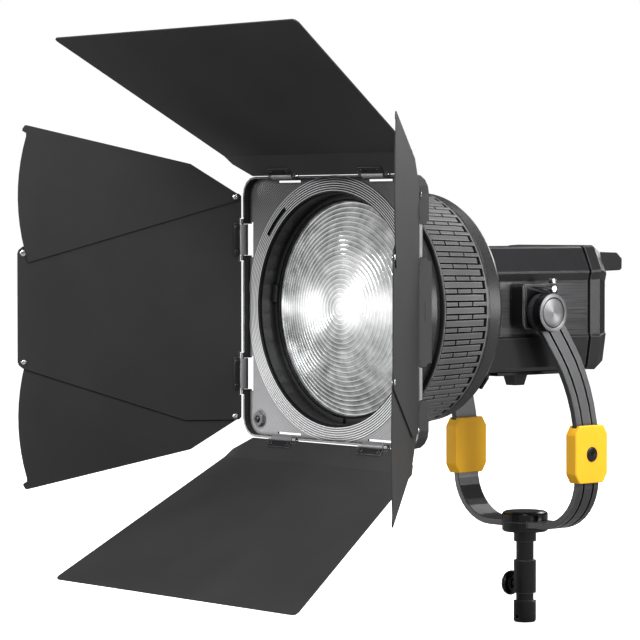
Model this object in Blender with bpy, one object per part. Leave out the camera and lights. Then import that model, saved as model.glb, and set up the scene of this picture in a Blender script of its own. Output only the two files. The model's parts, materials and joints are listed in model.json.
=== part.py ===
"""Fresnel spotlight with four-leaf barndoors, tilting yoke and junior stand pin.

Metres, +Z up. The light points along -Y. The origin is the blind end of the stand pin's
receiver bore, on the pan axis. "Right" is +X, as seen from in front of the lens.
"""
import math

import bmesh
import bpy
from mathutils import Matrix, Vector

# ---------------------------------------------------------------- driving dimensions
GAP = 0.0003                     # clearance between neighbouring pieces
OPTIC_Z = 0.318                  # height of the optical axis above the origin
PLATE_Y = -0.3145                # front face of the barndoor plate
TILT = Vector((0, -0.0755, 0.312))

LENS_R = 0.127                   # ten-inch lens
OPENING_R = 0.137
FRAME_HALF = 0.156               # half the square barndoor frame
FRAME_CORNER_R = 0.022
HINGE_OUT = 0.1557               # hinge axis from the optical axis
HINGE_Y = -0.0095                # hinge axis in front of the plate
HINGE_SPACING = 0.0806           # each hinge from the middle of its side
HINGE_LENGTH = 0.050             # both frame knuckles and the leaf knuckle between them
LEAF_KNUCKLE = 0.0185            # half length of the leaf knuckle
SLOT_HALF = 0.021                # half length of the slot behind each hinge
DEEP_HALF = 0.0575               # half length of the deeper part of the frame's side walls
KNUCKLE_R = 0.003
HINGE_PIN_R = 0.0012
SHEET = 0.0015                   # barndoor sheet metal
ROOT_GAP = 0.0018                # sheet starts this far from its hinge axis
NOTCH_DEPTH = 0.0046             # and this far where it passes the frame's knuckles

TOP_BEND = 0.0324                # flange of the top and bottom leaves
TOP_LENGTH = 0.2858
TOP_ANGLE_FLANGE = 38.0          # degrees from straight out, leaning forwards
TOP_ANGLE = 57.9
TOP_HALF_ROOT = 0.135
TOP_HALF_BEND = 0.166
TOP_HALF_TIP = 0.2178
SIDE_LENGTH = 0.2706
SIDE_HALF_ROOT = 0.136
SIDE_TAPER_FROM = 0.07
SIDE_HALF_TIP = 0.0705
SIDE_ANGLE = {"left": 58.7, "right": 48.4}
WING_SHEET = 0.0012
WING_PIVOT = (0.0095, 0.132)     # along the leaf, across the leaf
WING_R = 0.2605                  # outer arc of a wing about its pivot
STUD_R = 0.0028

BARREL_R = 0.1375
BARREL_BORE = (0.1350, 0.1290)    # bore in front of the lens, and where the lens slides
RING_Y = (0.042, 0.116)          # focus ring, behind the plate
RING_R = (0.1445, 0.140)         # its radius at the front and at the rear
CARRIER_Y = (0.0245, 0.052)
CAM_PIN_Y = 0.0487
LENS_TRAVEL = 0.050
CLIP_TURN = math.radians(7)      # the four lens stops sit this far off the quarter points
COLLAR_Y = (0.1195, 0.144)

BODY_Y = (0.1443, 0.345)         # lamp housing, behind the plate
COVER_Y = (0.349, 0.365, 0.3815)  # rear cover: start, where it begins to narrow, back
FOOT_Y = 0.2970
RELEASE_PIN = (0.2635, 0.0215)   # behind the plate, above the axis

YOKE_X = 0.1055                  # middle of a yoke bar
BAR_WIDTH = 0.036
BAR_THICK = 0.008
GROOVE = (0.008, 0.003, 0.0035)  # offset from the middle, width, depth
BOW_Z = 0.0475
BOW_CORNER_R = 0.060
BAR_JOINT_Z = 0.122              # where bow and arm meet, inside the joint block
ARM_BEND_Z = 0.138
ARM_LEAN = math.radians(36.1)
BLOCK = (0.018, 0.055, 0.070)
BLOCK_Z = 0.139
BOLT_HEAD_R = 0.0088
BOLT_SEAT_DEPTH = 0.0025
HUB_R = 0.0285
PIVOT_R = 0.006
CAP_R = 0.023
PIN_R = 0.014
BORE_R = 0.0081
SCREW_Z = -0.029

# ---------------------------------------------------------------- scene and materials
for old in list(bpy.data.objects):
    bpy.data.objects.remove(old, do_unlink=True)


def material(name, colour, rough, metal):
    made = bpy.data.materials.new(name)
    made.use_nodes = True
    shader = made.node_tree.nodes["Principled BSDF"]
    shader.inputs["Base Color"].default_value = (*colour, 1)
    shader.inputs["Roughness"].default_value = rough
    shader.inputs["Metallic"].default_value = metal
    return made


LEAF_PAINT = material("leaf_paint", (0.036, 0.036, 0.037), 0.55, 0.0)
BODY_PAINT = material("body_paint", (0.030, 0.030, 0.031), 0.45, 0.0)
MACHINED = material("machined_plate", (0.075, 0.075, 0.078), 0.38, 0.8)
ANODISED = material("anodised", (0.075, 0.077, 0.080), 0.35, 0.7)
YELLOW = material("yellow_block", (0.69, 0.36, 0.024), 0.42, 0.0)
BLACK = material("gloss_black", (0.010, 0.010, 0.011), 0.22, 0.0)
RUBBER = material("rubber", (0.035, 0.035, 0.036), 0.6, 0.0)
STEEL = material("steel", (0.62, 0.62, 0.64), 0.25, 1.0)
GLASS = material("lens_glass", (0.85, 0.87, 0.88), 0.08, 0.0)
MIRROR = material("reflector", (0.88, 0.88, 0.90), 0.12, 1.0)
ALLOY = material("raw_alloy", (0.55, 0.56, 0.58), 0.4, 1.0)

# ---------------------------------------------------------------- bodies (empties)
BODY_PIVOT = {}


def body(name, pivot, parent=None):
    empty = bpy.data.objects.new("body_" + name, None)
    bpy.context.collection.objects.link(empty)
    BODY_PIVOT[name] = Vector(pivot)
    empty.location = Vector(pivot)
    if parent:
        empty.parent = bpy.data.objects["body_" + parent]
        empty.location -= BODY_PIVOT[parent]


def at(x, y, z):
    """A point given from the centre of the barndoor plate."""
    return Vector((x, PLATE_Y + y, OPTIC_Z + z))


# ---------------------------------------------------------------- making solids
def finish(name, mesh_data, paint, owner, smooth=35):
    """Turn a bmesh in world coordinates into an object that hangs on a body's empty."""
    pivot = BODY_PIVOT[owner]
    bmesh.ops.translate(mesh_data, vec=-pivot, verts=mesh_data.verts)
    bmesh.ops.recalc_face_normals(mesh_data, faces=mesh_data.faces)
    mesh = bpy.data.meshes.new(name)
    mesh_data.to_mesh(mesh)
    mesh_data.free()
    mesh.materials.append(paint)
    if smooth:
        mesh.shade_smooth()
        mesh.set_sharp_from_angle(angle=math.radians(smooth))
    made = bpy.data.objects.new(name, mesh)
    bpy.context.collection.objects.link(made)
    made.parent = bpy.data.objects["body_" + owner]
    return made


def boolean(target, operation, tool):
    """Cut, or join, a tool object. The tool stays in the file as a wire guide."""
    tool.hide_render = True
    tool.display_type = "WIRE"
    step = target.modifiers.new(operation.lower(), "BOOLEAN")
    step.operation = operation
    step.object = tool


def cut(target, *tools):
    for tool in tools:
        boolean(target, "DIFFERENCE", tool)


def join(target, *tools):
    for tool in tools:
        boolean(target, "UNION", tool)


def lathe(profile, centre, axis, steps=56):
    """A turned solid. profile is a closed list of (radius, distance along the axis)."""
    axis = Vector(axis).normalized()
    side = axis.orthogonal().normalized()
    other = axis.cross(side)
    mesh = bmesh.new()
    rings = []
    for radius, along in profile:
        middle = Vector(centre) + axis * along
        if radius < 1e-6:
            rings.append([mesh.verts.new(middle)])
            continue
        ring = []
        for step in range(steps):
            turn = 2 * math.pi * (step + 0.5) / steps
            ring.append(mesh.verts.new(middle + radius * (side * math.cos(turn) + other * math.sin(turn))))
        rings.append(ring)
    closed = len(rings[0]) > 1
    for index in range(len(rings) if closed else len(rings) - 1):
        a, b = rings[index], rings[(index + 1) % len(rings)]
        for step in range(steps):
            following = (step + 1) % steps
            corners = []
            for ring, order in ((a, (step, following)), (b, (following, step))):
                corners += [ring[0]] if len(ring) == 1 else [ring[order[0]], ring[order[1]]]
            if len(corners) > 2:
                mesh.faces.new(corners)
    return mesh


def rod(radius, start, end, steps=16):
    start, end = Vector(start), Vector(end)
    length = (end - start).length
    return lathe([(0, 0), (radius, 0), (radius, length), (0, length)], start, end - start, steps)


def tube(outer, inner, start, end, steps=48):
    start, end = Vector(start), Vector(end)
    length = (end - start).length
    return lathe([(outer, 0), (outer, length), (inner, length), (inner, 0)], start, end - start, steps)


def block(low, high):
    mesh = bmesh.new()
    bmesh.ops.create_cube(mesh, size=1)
    low, high = Vector(low), Vector(high)
    for vert in mesh.verts:
        vert.co = Vector([low[i] + (vert.co[i] + 0.5) * (high[i] - low[i]) for i in range(3)])
    return mesh


def turned(solid, angle, centre, axis="Y"):
    """Turn a solid about an axis through the origin, then move it to centre."""
    bmesh.ops.rotate(solid, cent=(0, 0, 0), matrix=Matrix.Rotation(angle, 3, axis), verts=solid.verts)
    bmesh.ops.translate(solid, vec=centre, verts=solid.verts)
    return solid


def merged(parts):
    """Several separate solids in one mesh, to cut or join in one go."""
    whole = bmesh.new()
    for part in parts:
        scratch = bpy.data.meshes.new("scratch")
        bmesh.ops.recalc_face_normals(part, faces=part.faces)
        part.to_mesh(scratch)
        part.free()
        whole.from_mesh(scratch)
        bpy.data.meshes.remove(scratch)
    return whole


def prism(outline, to_world, depth):
    """Extrude a closed outline of (u, v) by depth. to_world maps (u, v, w) to a point."""
    mesh = bmesh.new()
    low = [mesh.verts.new(to_world(u, v, depth[0])) for u, v in outline]
    high = [mesh.verts.new(to_world(u, v, depth[1])) for u, v in outline]
    mesh.faces.new(low)
    mesh.faces.new(list(reversed(high)))
    for index in range(len(outline)):
        following = (index + 1) % len(outline)
        mesh.faces.new([low[index], high[index], high[following], low[following]])
    return mesh


def skin(loops, close_ends=True, close_ring=False):
    """A solid through matching loops of points."""
    mesh = bmesh.new()
    rings = [[mesh.verts.new(p) for p in loop] for loop in loops]
    pairs = list(zip(rings, rings[1:]))
    if close_ring:
        pairs.append((rings[-1], rings[0]))
    for a, b in pairs:
        for index in range(len(a)):
            following = (index + 1) % len(a)
            mesh.faces.new([a[index], b[index], b[following], a[following]])
    if close_ends and not close_ring:
        mesh.faces.new(rings[0])
        mesh.faces.new(list(reversed(rings[-1])))
    return mesh


def arc(centre, radius, start, end, steps):
    """Points on an arc, from start to end in degrees."""
    turns = [math.radians(start + (end - start) * k / steps) for k in range(steps + 1)]
    return [(centre[0] + radius * math.cos(t), centre[1] + radius * math.sin(t)) for t in turns]


def rounded_square(half, radius, steps=4):
    outline = []
    for quarter, (sx, sy) in enumerate(((1, 1), (-1, 1), (-1, -1), (1, -1))):
        centre = (sx * (half - radius), sy * (half - radius))
        outline += arc(centre, radius, 90 * quarter, 90 * quarter + 90, steps)
    return outline


def facing(u, v, w):
    """Outline in X and Z, depth along Y, from the centre of the barndoor plate."""
    return at(u, w, v)


# ---------------------------------------------------------------- stand pin and hub
def stand_pin():
    stud_top, hub_bottom, bottom = 0.0570, 0.037, -0.075
    outer = [(0, stud_top), (PIVOT_R, stud_top), (PIVOT_R, hub_bottom), (PIN_R, hub_bottom), (PIN_R, 0.025),
             (0.011, 0.0245), (0.011, 0.002), (PIN_R, 0.0015), (PIN_R, -0.039), (0.011, -0.0395),
             (0.011, -0.0484), (PIN_R, -0.0489), (PIN_R, -0.0730), (0.0125, bottom),
             (BORE_R, bottom), (BORE_R, 0), (0, 0)]
    pin = finish("stand_pin", lathe(outer, (0, 0, 0), (0, 0, 1), 28), BLACK, "stand")
    cross_hole = rod(0.003, (0, -0.02, -0.068), (0, 0.02, -0.068))
    screw_hole = rod(0.0043, (-0.02, 0, SCREW_Z), (-0.005, 0, SCREW_Z))
    cut(pin, finish("cut_cross_hole", cross_hole, BLACK, "stand"))
    cut(pin, finish("cut_screw_hole", screw_hole, BLACK, "stand"))


def hub():
    low, split, high = 0.037 + GAP, 0.0497, 0.0625
    slot_low = BOW_Z - BAR_THICK / 2 - GAP
    slot_high = BOW_Z + BAR_THICK / 2 + GAP
    slot_half = BAR_WIDTH / 2 + GAP
    bore = 0.0063
    base = [(bore, low), (0.0265, low), (HUB_R, low + 0.002), (HUB_R, split - GAP / 2),
            (bore, split - GAP / 2)]
    base = finish("hub_base", lathe(base, (0, 0, 0), (0, 0, 1), 36), BLACK, "stand")
    base_slot = block((-0.05, -slot_half, slot_low), (0.05, slot_half, 0.07))
    cut(base, finish("cut_base_slot", base_slot, BLACK, "stand"))
    top = [(0, high), (0.0245, high), (HUB_R - 0.001, high - 0.0015), (HUB_R, high - 0.0035),
           (HUB_R, split + GAP / 2), (bore, split + GAP / 2), (bore, 0.0575), (0, 0.0575)]
    top = finish("hub_cap", lathe(top, (0, 0, 0), (0, 0, 1), 36), BLACK, "stand")
    cap_slot = block((-0.05, -slot_half, 0.03), (0.05, slot_half, slot_high))
    cut(top, finish("cut_cap_slot", cap_slot, BLACK, "stand"))


def lock_screw():
    outer, tip = -PIN_R - 0.0054, -0.0084
    finish("lock_screw", rod(0.0039, (tip, 0, SCREW_Z), (outer, 0, SCREW_Z)), STEEL, "lock_screw")
    profile = [(0, 0), (0.0075, 0), (0.0095, 0.002), (0.0140, 0.002), (0.0155, 0.0035), (0.0155, 0.0065),
               (0.0138, 0.0082), (0, 0.0082)]
    knob = lathe(profile, (outer - GAP, 0, SCREW_Z), (-1, 0, 0), 28)
    finish("lock_knob", knob, BLACK, "lock_knob")


# ---------------------------------------------------------------- yoke
def bar_section():
    """Across a yoke bar: (across the width, outwards), with two grooves on the outer face."""
    half, face = BAR_WIDTH / 2, BAR_THICK / 2
    offset, width, depth = GROOVE
    edge = 0.0008
    outline = [(-half, -face + edge), (-half, face - edge), (-half + edge, face)]
    for centre in (-offset, offset):
        outline += [(centre - width / 2, face), (centre - width / 2, face - depth),
                    (centre + width / 2, face - depth), (centre + width / 2, face)]
    outline += [(half - edge, face), (half, face - edge), (half, -face + edge), (half - edge, -face)]
    return outline + [(-half + edge, -face)]


def yoke_bow():
    """The lower U of the yoke, with its grooved face outwards."""
    reach = YOKE_X - BOW_CORNER_R
    path = [((-YOKE_X, BAR_JOINT_Z - GAP), (-1, 0))]
    for turn in arc((0, 0), 1, 180, 270, 9):
        path.append(((-reach + BOW_CORNER_R * turn[0], BOW_Z + BOW_CORNER_R * (1 + turn[1])), turn))
    for turn in arc((0, 0), 1, 270, 360, 9):
        path.append(((reach + BOW_CORNER_R * turn[0], BOW_Z + BOW_CORNER_R * (1 + turn[1])), turn))
    path.append(((YOKE_X, BAR_JOINT_Z - GAP), (1, 0)))
    loops = []
    for (x, z), (nx, nz) in path:
        loops.append([Vector((x + n * nx, w, z + n * nz)) for w, n in bar_section()])
    bow = finish("yoke_bow", skin(loops), ANODISED, "stand")
    cut(bow, finish("cut_bow_hole", rod(0.0063, (0, 0, 0.03), (0, 0, 0.07)), ANODISED, "stand"))


def arm_path():
    """Centre line of an arm in Y and Z with its lean: up, round a bend, straight to the tilt axis."""
    rise = TILT.z - ARM_BEND_Z
    radius = (rise * math.sin(ARM_LEAN) + TILT.y * math.cos(ARM_LEAN)) / (1 - math.cos(ARM_LEAN))
    path = [((0, BAR_JOINT_Z), 0.0)]
    steps = 7
    for k in range(steps + 1):
        lean = ARM_LEAN * k / steps
        path.append(((-radius * (1 - math.cos(lean)), ARM_BEND_Z + radius * math.sin(lean)), lean))
    path.append(((TILT.y, TILT.z), ARM_LEAN))
    return path


def yoke_arm(side):
    sign = 1 if side == "right" else -1
    loops = []
    for (y, z), lean in arm_path():
        across = Vector((0, math.cos(lean), math.sin(lean)))
        loops.append([Vector((sign * (YOKE_X + n), y, z)) + across * w for w, n in bar_section()])
    arm = finish("yoke_arm_" + side, skin(loops), ANODISED, "stand")
    inner, outer = YOKE_X - BAR_THICK / 2 + 0.0001, YOKE_X + BAR_THICK / 2 + 0.0002
    eye = rod(CAP_R - 0.0006, (sign * inner, TILT.y, TILT.z), (sign * outer, TILT.y, TILT.z), 32)
    join(arm, finish("add_eye_" + side, eye, ANODISED, "stand"))
    hole = rod(PIVOT_R + GAP, (sign * 0.09, TILT.y, TILT.z), (sign * 0.12, TILT.y, TILT.z))
    bolt_hole = rod(0.0034, (sign * 0.09, 0, BLOCK_Z), (sign * 0.12, 0, BLOCK_Z))
    cut(arm, finish("cut_arm_holes_" + side, merged([hole, bolt_hole]), ANODISED, "stand"))


def joint_block(side):
    """Clamps the arm to the bow. Its corners are cut off, and the bars pass through it."""
    sign = 1 if side == "right" else -1
    thick, wide, tall = BLOCK
    corner_y, corner_z = 0.0070, 0.0110
    outline = []
    for sy, sz in ((1, 1), (-1, 1), (-1, -1), (1, -1)):
        pair = [(sy * wide / 2, sz * (tall / 2 - corner_z)), (sy * (wide / 2 - corner_y), sz * tall / 2)]
        outline += pair if sy * sz > 0 else pair[::-1]

    def place(u, v, w):
        return Vector((sign * w, u, BLOCK_Z + v))

    solid = prism(outline, place, (YOKE_X - thick / 2, YOKE_X + thick / 2))
    solid = finish("joint_block_" + side, solid, YELLOW, "stand")
    bevel = solid.modifiers.new("edges", "BEVEL")
    bevel.width = 0.0012
    half, deep = BAR_WIDTH / 2 + GAP, BAR_THICK / 2 + GAP
    slot = block((sign * YOKE_X - deep, -half, 0.08), (sign * YOKE_X + deep, half, 0.2))
    lean_room = block((sign * YOKE_X - deep, -half - 0.0042, BLOCK_Z),
                      (sign * YOKE_X + deep, half - 0.01, 0.2))
    face = YOKE_X + thick / 2
    seat_floor = face - BOLT_SEAT_DEPTH
    seat = rod(BOLT_HEAD_R + 0.0004, (sign * seat_floor, 0, BLOCK_Z), (sign * (face + 0.01), 0, BLOCK_Z), 24)
    hole = rod(0.0034, (sign * (YOKE_X - 0.0065), 0, BLOCK_Z), (sign * (face - 0.001), 0, BLOCK_Z), 12)
    for name, tool in (("cut_block_slot_", slot), ("cut_block_lean_", lean_room),
                       ("cut_block_seat_", seat), ("cut_block_hole_", hole)):
        cut(solid, finish(name + side, tool, YELLOW, "stand"))


def block_bolt(side):
    """Socket screw through block and arm."""
    sign = 1 if side == "right" else -1
    face = YOKE_X + BLOCK[0] / 2
    seat = face - BOLT_SEAT_DEPTH + GAP
    tip = YOKE_X - 0.0062
    profile = [(0, tip), (0.0031, tip), (0.0031, seat), (BOLT_HEAD_R, seat), (BOLT_HEAD_R, face + 0.0004),
               (BOLT_HEAD_R - 0.0010, face + 0.0014), (0, face + 0.0014)]
    bolt = finish("block_bolt_" + side, lathe(profile, (0, 0, BLOCK_Z), (sign, 0, 0), 20), BLACK, "stand")
    socket = rod(0.0036, (sign * (face - 0.0012), 0, BLOCK_Z), (sign * (face + 0.01), 0, BLOCK_Z), 6)
    cut(bolt, finish("cut_socket_" + side, socket, BLACK, "stand"))


def tilt_pivots():
    """Right: pivot bolt with a round cap. Left: pivot bolt that carries the lock lever."""
    face = YOKE_X + BAR_THICK / 2 + 0.0002 + GAP
    inner = 0.0860
    cap_out = 0.1235
    right = [(0, inner), (PIVOT_R, inner), (PIVOT_R, face), (CAP_R, face), (CAP_R, cap_out - 0.0010),
             (CAP_R - 0.0012, cap_out), (0.0178, cap_out), (0.0172, cap_out - 0.0009),
             (0.0164, cap_out - 0.0009), (0.0158, cap_out - 0.0001), (0, cap_out - 0.0006)]
    centre = (0, TILT.y, TILT.z)
    finish("tilt_pivot_right", lathe(right, centre, (1, 0, 0), 36), BLACK, "stand")
    left = [(0, inner), (PIVOT_R, inner), (PIVOT_R, face), (CAP_R, face), (CAP_R, face + 0.003),
            (0.005, face + 0.003), (0.005, face + 0.014), (0, face + 0.014)]
    finish("tilt_pivot_left", lathe(left, centre, (-1, 0, 0), 28), BLACK, "stand")
    hub_in = face + 0.003 + GAP
    grip = lathe([(0.0053, hub_in), (0.012, hub_in), (0.0125, hub_in + 0.008), (0.0110, hub_in + 0.0100),
                  (0.0053, hub_in + 0.0100)], centre, (-1, 0, 0), 32)
    lever = finish("tilt_lever", grip, BLACK, "tilt_lever")

    def place(u, v, w):
        return Vector((-w, TILT.y + u, TILT.z + v))

    handle = [(0.0070, 0.004)] + arc((0.058, 0.0), 0.0065, 60, -60, 6) + [(0.0070, -0.004)]
    paddle = prism(handle, place, (hub_in + 0.0015, hub_in + 0.0082))
    join(lever, finish("add_paddle", paddle, BLACK, "tilt_lever"))


# ---------------------------------------------------------------- lamp head
# Right half of the housing's section, from the middle of the bottom to the middle of the top.
OUTER_SECTION = [(0.0680, -0.0780), (0.0730, -0.0735), (0.0790, -0.0375), (0.0770, -0.0350), (0.0770, 0.0310),
                 (0.0795, 0.0400), (0.0795, 0.0425), (0.0670, 0.0700), (0.0640, 0.0720)]
INNER_SECTION = [(0.0655, -0.0745), (0.0695, -0.0710), (0.0750, -0.0380), (0.0735, -0.0340), (0.0735, 0.0310),
                 (0.0755, 0.0390), (0.0755, 0.0405), (0.0645, 0.0670), (0.0620, 0.0685)]


def section_loop(half, y, scale=1.0, lift=0.0):
    """Mirror a half section into a closed loop of points at a distance behind the plate."""
    middle_z = -0.003
    right = [(x * scale, middle_z + (z - middle_z) * scale + lift) for x, z in half]
    whole = right + [(-x, z) for x, z in reversed(right)]
    return [at(x, y, z) for x, z in whole]


def section_tube(name, paint, y, outer_scale=1.0):
    loops = [section_loop(OUTER_SECTION, y[0], outer_scale), section_loop(OUTER_SECTION, y[1], outer_scale),
             section_loop(INNER_SECTION, y[1]), section_loop(INNER_SECTION, y[0])]
    return finish(name, skin(loops, close_ring=True), paint, "lamp")


def lamp_housing():
    shell = section_tube("lamp_housing", BODY_PAINT, BODY_Y)
    holes = []
    height = TILT.z + 0.014
    for sign in (-1, 1):
        holes.append(rod(0.004, (sign * 0.07, TILT.y, height), (sign * 0.09, TILT.y, height), 16))
    cut(shell, finish("cut_bracket_holes", merged(holes), BODY_PAINT, "lamp"))


def rear_cover():
    """Shell behind the gasket: flat sides, then a chamfer to the back, with vent slots."""
    start, bend, back = COVER_Y
    loops = [section_loop(INNER_SECTION, back - 0.006, 0.93), section_loop(INNER_SECTION, start),
             section_loop(OUTER_SECTION, start, 1.01), section_loop(OUTER_SECTION, bend, 1.02),
             section_loop(OUTER_SECTION, back, 0.93)]
    cover = finish("rear_cover", skin(loops), BODY_PAINT, "lamp")
    slots = []
    for row in range(7):
        z = -0.052 + 0.011 * row
        slots.append(block(at(-0.040, back - 0.02, z), at(0.040, back + 0.02, z + 0.005)))
    cut(cover, finish("cut_rear_vents", merged(slots), BODY_PAINT, "lamp"))


def rear_handle():
    """Grab handle: a wedge seen from the side, with a hand hole through it."""
    back = COVER_Y[2] + GAP
    side = [(back, 0.0650), (back, 0.0410), (0.4200, 0.0420), (0.4230, 0.0440), (0.4232, 0.0565),
            (0.4140, 0.0640)]

    def place(u, v, w):
        return at(w, u, v)

    handle = finish("rear_handle", prism(side, place, (-0.0610, 0.0610)), BODY_PAINT, "lamp")
    hole = block(at(-0.045, 0.3900, 0.02), at(0.045, 0.4090, 0.09))
    cut(handle, finish("cut_hand_hole", hole, BODY_PAINT, "lamp"))


def cable_socket():
    """Head cable inlet low on the back, with a bayonet ring that turns."""
    back = COVER_Y[2] + GAP
    centre = at(0, 0, -0.0640)
    profile = [(0.0052, back), (0.0088, back), (0.0088, back + 0.003), (0.0070, back + 0.003),
               (0.0070, back + 0.014), (0.0052, back + 0.014)]
    socket = lathe(profile, centre, (0, 1, 0), 24)
    finish("cable_socket", socket, STEEL, "lamp")
    ring = tube(0.0092, 0.0073, at(0, back + 0.0035, -0.0640), at(0, back + 0.0125, -0.0640), 24)
    finish("socket_ring", ring, BLACK, "socket_ring")


def underside():
    rail_top = -0.078 - GAP
    rail = block(at(-0.066, 0.2020, rail_top - 0.0045), at(0.066, 0.3440, rail_top))
    finish("bottom_rail", rail, BODY_PAINT, "lamp")
    top = rail_top - 0.0045 - GAP
    low = top - 0.0160
    loops = []
    for z, half_x, half_y in ((top, 0.0110, 0.0120), (low, 0.0080, 0.0080)):
        corners = ((1, 1), (-1, 1), (-1, -1), (1, -1))
        loops.append([at(sx * half_x, FOOT_Y + sy * half_y, z) for sx, sy in corners])
    finish("bottom_foot", skin(loops), BODY_PAINT, "lamp")


def side_bracket(side):
    """Quick-release tilt block on the side of the lamp, bored for the pivot."""
    sign = 1 if side == "right" else -1
    inner, outer = 0.0795 + GAP, 0.0995

    def place(u, v, w):
        return at(sign * w, u, v)

    low_y, high_y, low_z, high_z = 0.2115, 0.2710, -0.0230, 0.0280
    corner = 0.005
    outline = []
    for cy, cz, start in ((high_y - corner, high_z - corner, 0), (low_y + corner, high_z - corner, 90),
                          (low_y + corner, low_z + corner, 180), (high_y - corner, low_z + corner, 270)):
        outline += arc((cy, cz), corner, start, start + 90, 4)
    bracket = finish("side_bracket_" + side, prism(outline, place, (inner, outer)), BLACK, "lamp")
    boss_end = YOKE_X - BAR_THICK / 2 + 0.0001 - GAP
    boss = rod(0.0215, (sign * 0.095, TILT.y, TILT.z), (sign * boss_end, TILT.y, TILT.z), 32)
    join(bracket, finish("add_boss_" + side, boss, BLACK, "lamp"))
    bore = rod(PIVOT_R + GAP, (sign * 0.0845, TILT.y, TILT.z), (sign * 0.11, TILT.y, TILT.z))
    pin_y, pin_z = RELEASE_PIN
    pin_hole = rod(0.0033, at(sign * 0.0860, pin_y, pin_z), at(sign * 0.11, pin_y, pin_z), 12)
    cut(bracket, finish("cut_bracket_" + side, merged([bore, pin_hole]), BLACK, "lamp"))
    head = [(0, 0.0870), (0.0030, 0.0870), (0.0030, outer + GAP), (0.0042, outer + GAP),
            (0.0042, outer + 0.0009), (0.0036, outer + 0.0016), (0, outer + 0.0016)]
    centre = at(0, pin_y, pin_z)
    finish("release_pin_" + side, lathe(head, centre, (sign, 0, 0), 12), STEEL, "release_pin_" + side)


def internals():
    """Reflector, light engine, heat sink and fan inside the housing."""
    centre = at(0, 0, -0.003)
    bowl = []
    for k in range(5):
        t = k / 4
        bowl.append((0.016 + 0.040 * t ** 0.6, 0.168 - 0.022 * t))
    bowl += [(radius + 0.002, y + 0.0008) for radius, y in reversed(bowl)]
    finish("reflector", lathe(bowl, centre, (0, 1, 0), 20), MIRROR, "lamp")
    plate = block(at(-0.045, 0.1720, -0.048), at(0.045, 0.1770, 0.042))
    plate = finish("led_module", plate, ALLOY, "lamp")
    emitter = rod(0.0145, centre + Vector((0, 0.1700, 0)), centre + Vector((0, 0.174, 0)), 20)
    join(plate, finish("add_emitter", emitter, YELLOW, "lamp"))
    fins, pitch, thin = 13, 0.0098, 0.0024
    base_y, fin_base, fin_end = 0.1773, 0.1850, 0.2620
    outline = [(-0.061, base_y), (0.061, base_y)]
    for k in range(fins):
        x = 0.0600 - 0.001 - pitch * k
        outline += [(x, fin_base), (x, fin_end), (x - thin, fin_end), (x - thin, fin_base)]
    outline[2] = (0.061, fin_base)
    outline.insert(3, (0.0590, fin_base))
    outline.append((-0.061, fin_base))

    def place(u, v, w):
        return at(u, v, w)

    finish("heat_sink", prism(outline, place, (-0.055, 0.050)), ALLOY, "lamp", smooth=0)
    frame_y = (0.2660, 0.2880)
    fan = block(at(-0.056, frame_y[0], -0.059), at(0.056, frame_y[1], 0.053))
    fan = finish("fan_frame", fan, BLACK, "lamp")
    before, behind = Vector((0, frame_y[0], 0)), Vector((0, frame_y[1], 0))
    margin = Vector((0, 0.01, 0))
    duct = rod(0.052, centre + before - margin, centre + behind + margin, 32)
    cut(fan, finish("cut_duct", duct, BLACK, "lamp"))
    spokes = [rod(0.0180, centre + behind - Vector((0, 0.003, 0)), centre + behind, 16)]
    reach = 0.056
    for turn in (45, 135):
        strut = block((-reach, frame_y[1] - 0.0025, -0.003), (reach, frame_y[1] - 0.0005, 0.003))
        spokes.append(turned(strut, math.radians(turn), centre))
    for index, piece in enumerate(spokes):
        join(fan, finish("add_spoke_%d" % index, piece, BLACK, "lamp"))
    hub_end = frame_y[1] - 0.0038
    hub_start = frame_y[0] + 0.002
    rotor = rod(0.0175, centre + Vector((0, hub_start, 0)), centre + Vector((0, hub_end, 0)), 16)
    rotor = finish("fan_rotor", rotor, BLACK, "fan")
    middle = centre + Vector((0, (hub_start + hub_end) / 2, 0))
    blades, pitch_angle = 7, math.radians(38)
    for k in range(blades):
        blade = block((0.0160, -0.0070, -0.0008), (0.0490, 0.0070, 0.0008))
        blade = turned(blade, pitch_angle, (0, 0, 0), "X")
        blade = turned(blade, 2 * math.pi * k / blades, middle)
        join(rotor, finish("add_blade_%d" % k, blade, BLACK, "fan"))


# ---------------------------------------------------------------- fresnel unit
def front_collar():
    start, end = COLLAR_Y
    profile = [(0.0560, end), (0.0560, end - 0.005), (0.1290, end - 0.005), (0.1345, end - 0.008),
               (0.1345, start), (0.1388, start), (0.1388, start + 0.0020), (0.1372, start + 0.0032),
               (0.1368, end - 0.0060), (0.1345, end - 0.0018), (0.1305, end)]
    finish("front_collar", lathe(profile, at(0, 0, 0), (0, 1, 0), 48), BODY_PAINT, "lamp")


def mount_latch():
    """Thumb slide at the lower right of the collar that frees the fresnel unit."""
    turn = math.radians(-41)
    out = Vector((math.cos(turn), 0, math.sin(turn)))
    along = Vector((-math.sin(turn), 0, math.cos(turn)))
    start = COLLAR_Y[1] + GAP

    def place(u, v, w):
        return at(0, v, 0) + out * u + along * w

    outline = [(0.1180, start), (0.1345, start), (0.1345, start + 0.0040), (0.1290, start + 0.0060),
               (0.1290, start + 0.0100), (0.1180, start + 0.0100)]
    finish("mount_latch", prism(outline, place, (-0.0090, 0.0090)), BODY_PAINT, "mount_latch")


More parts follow.
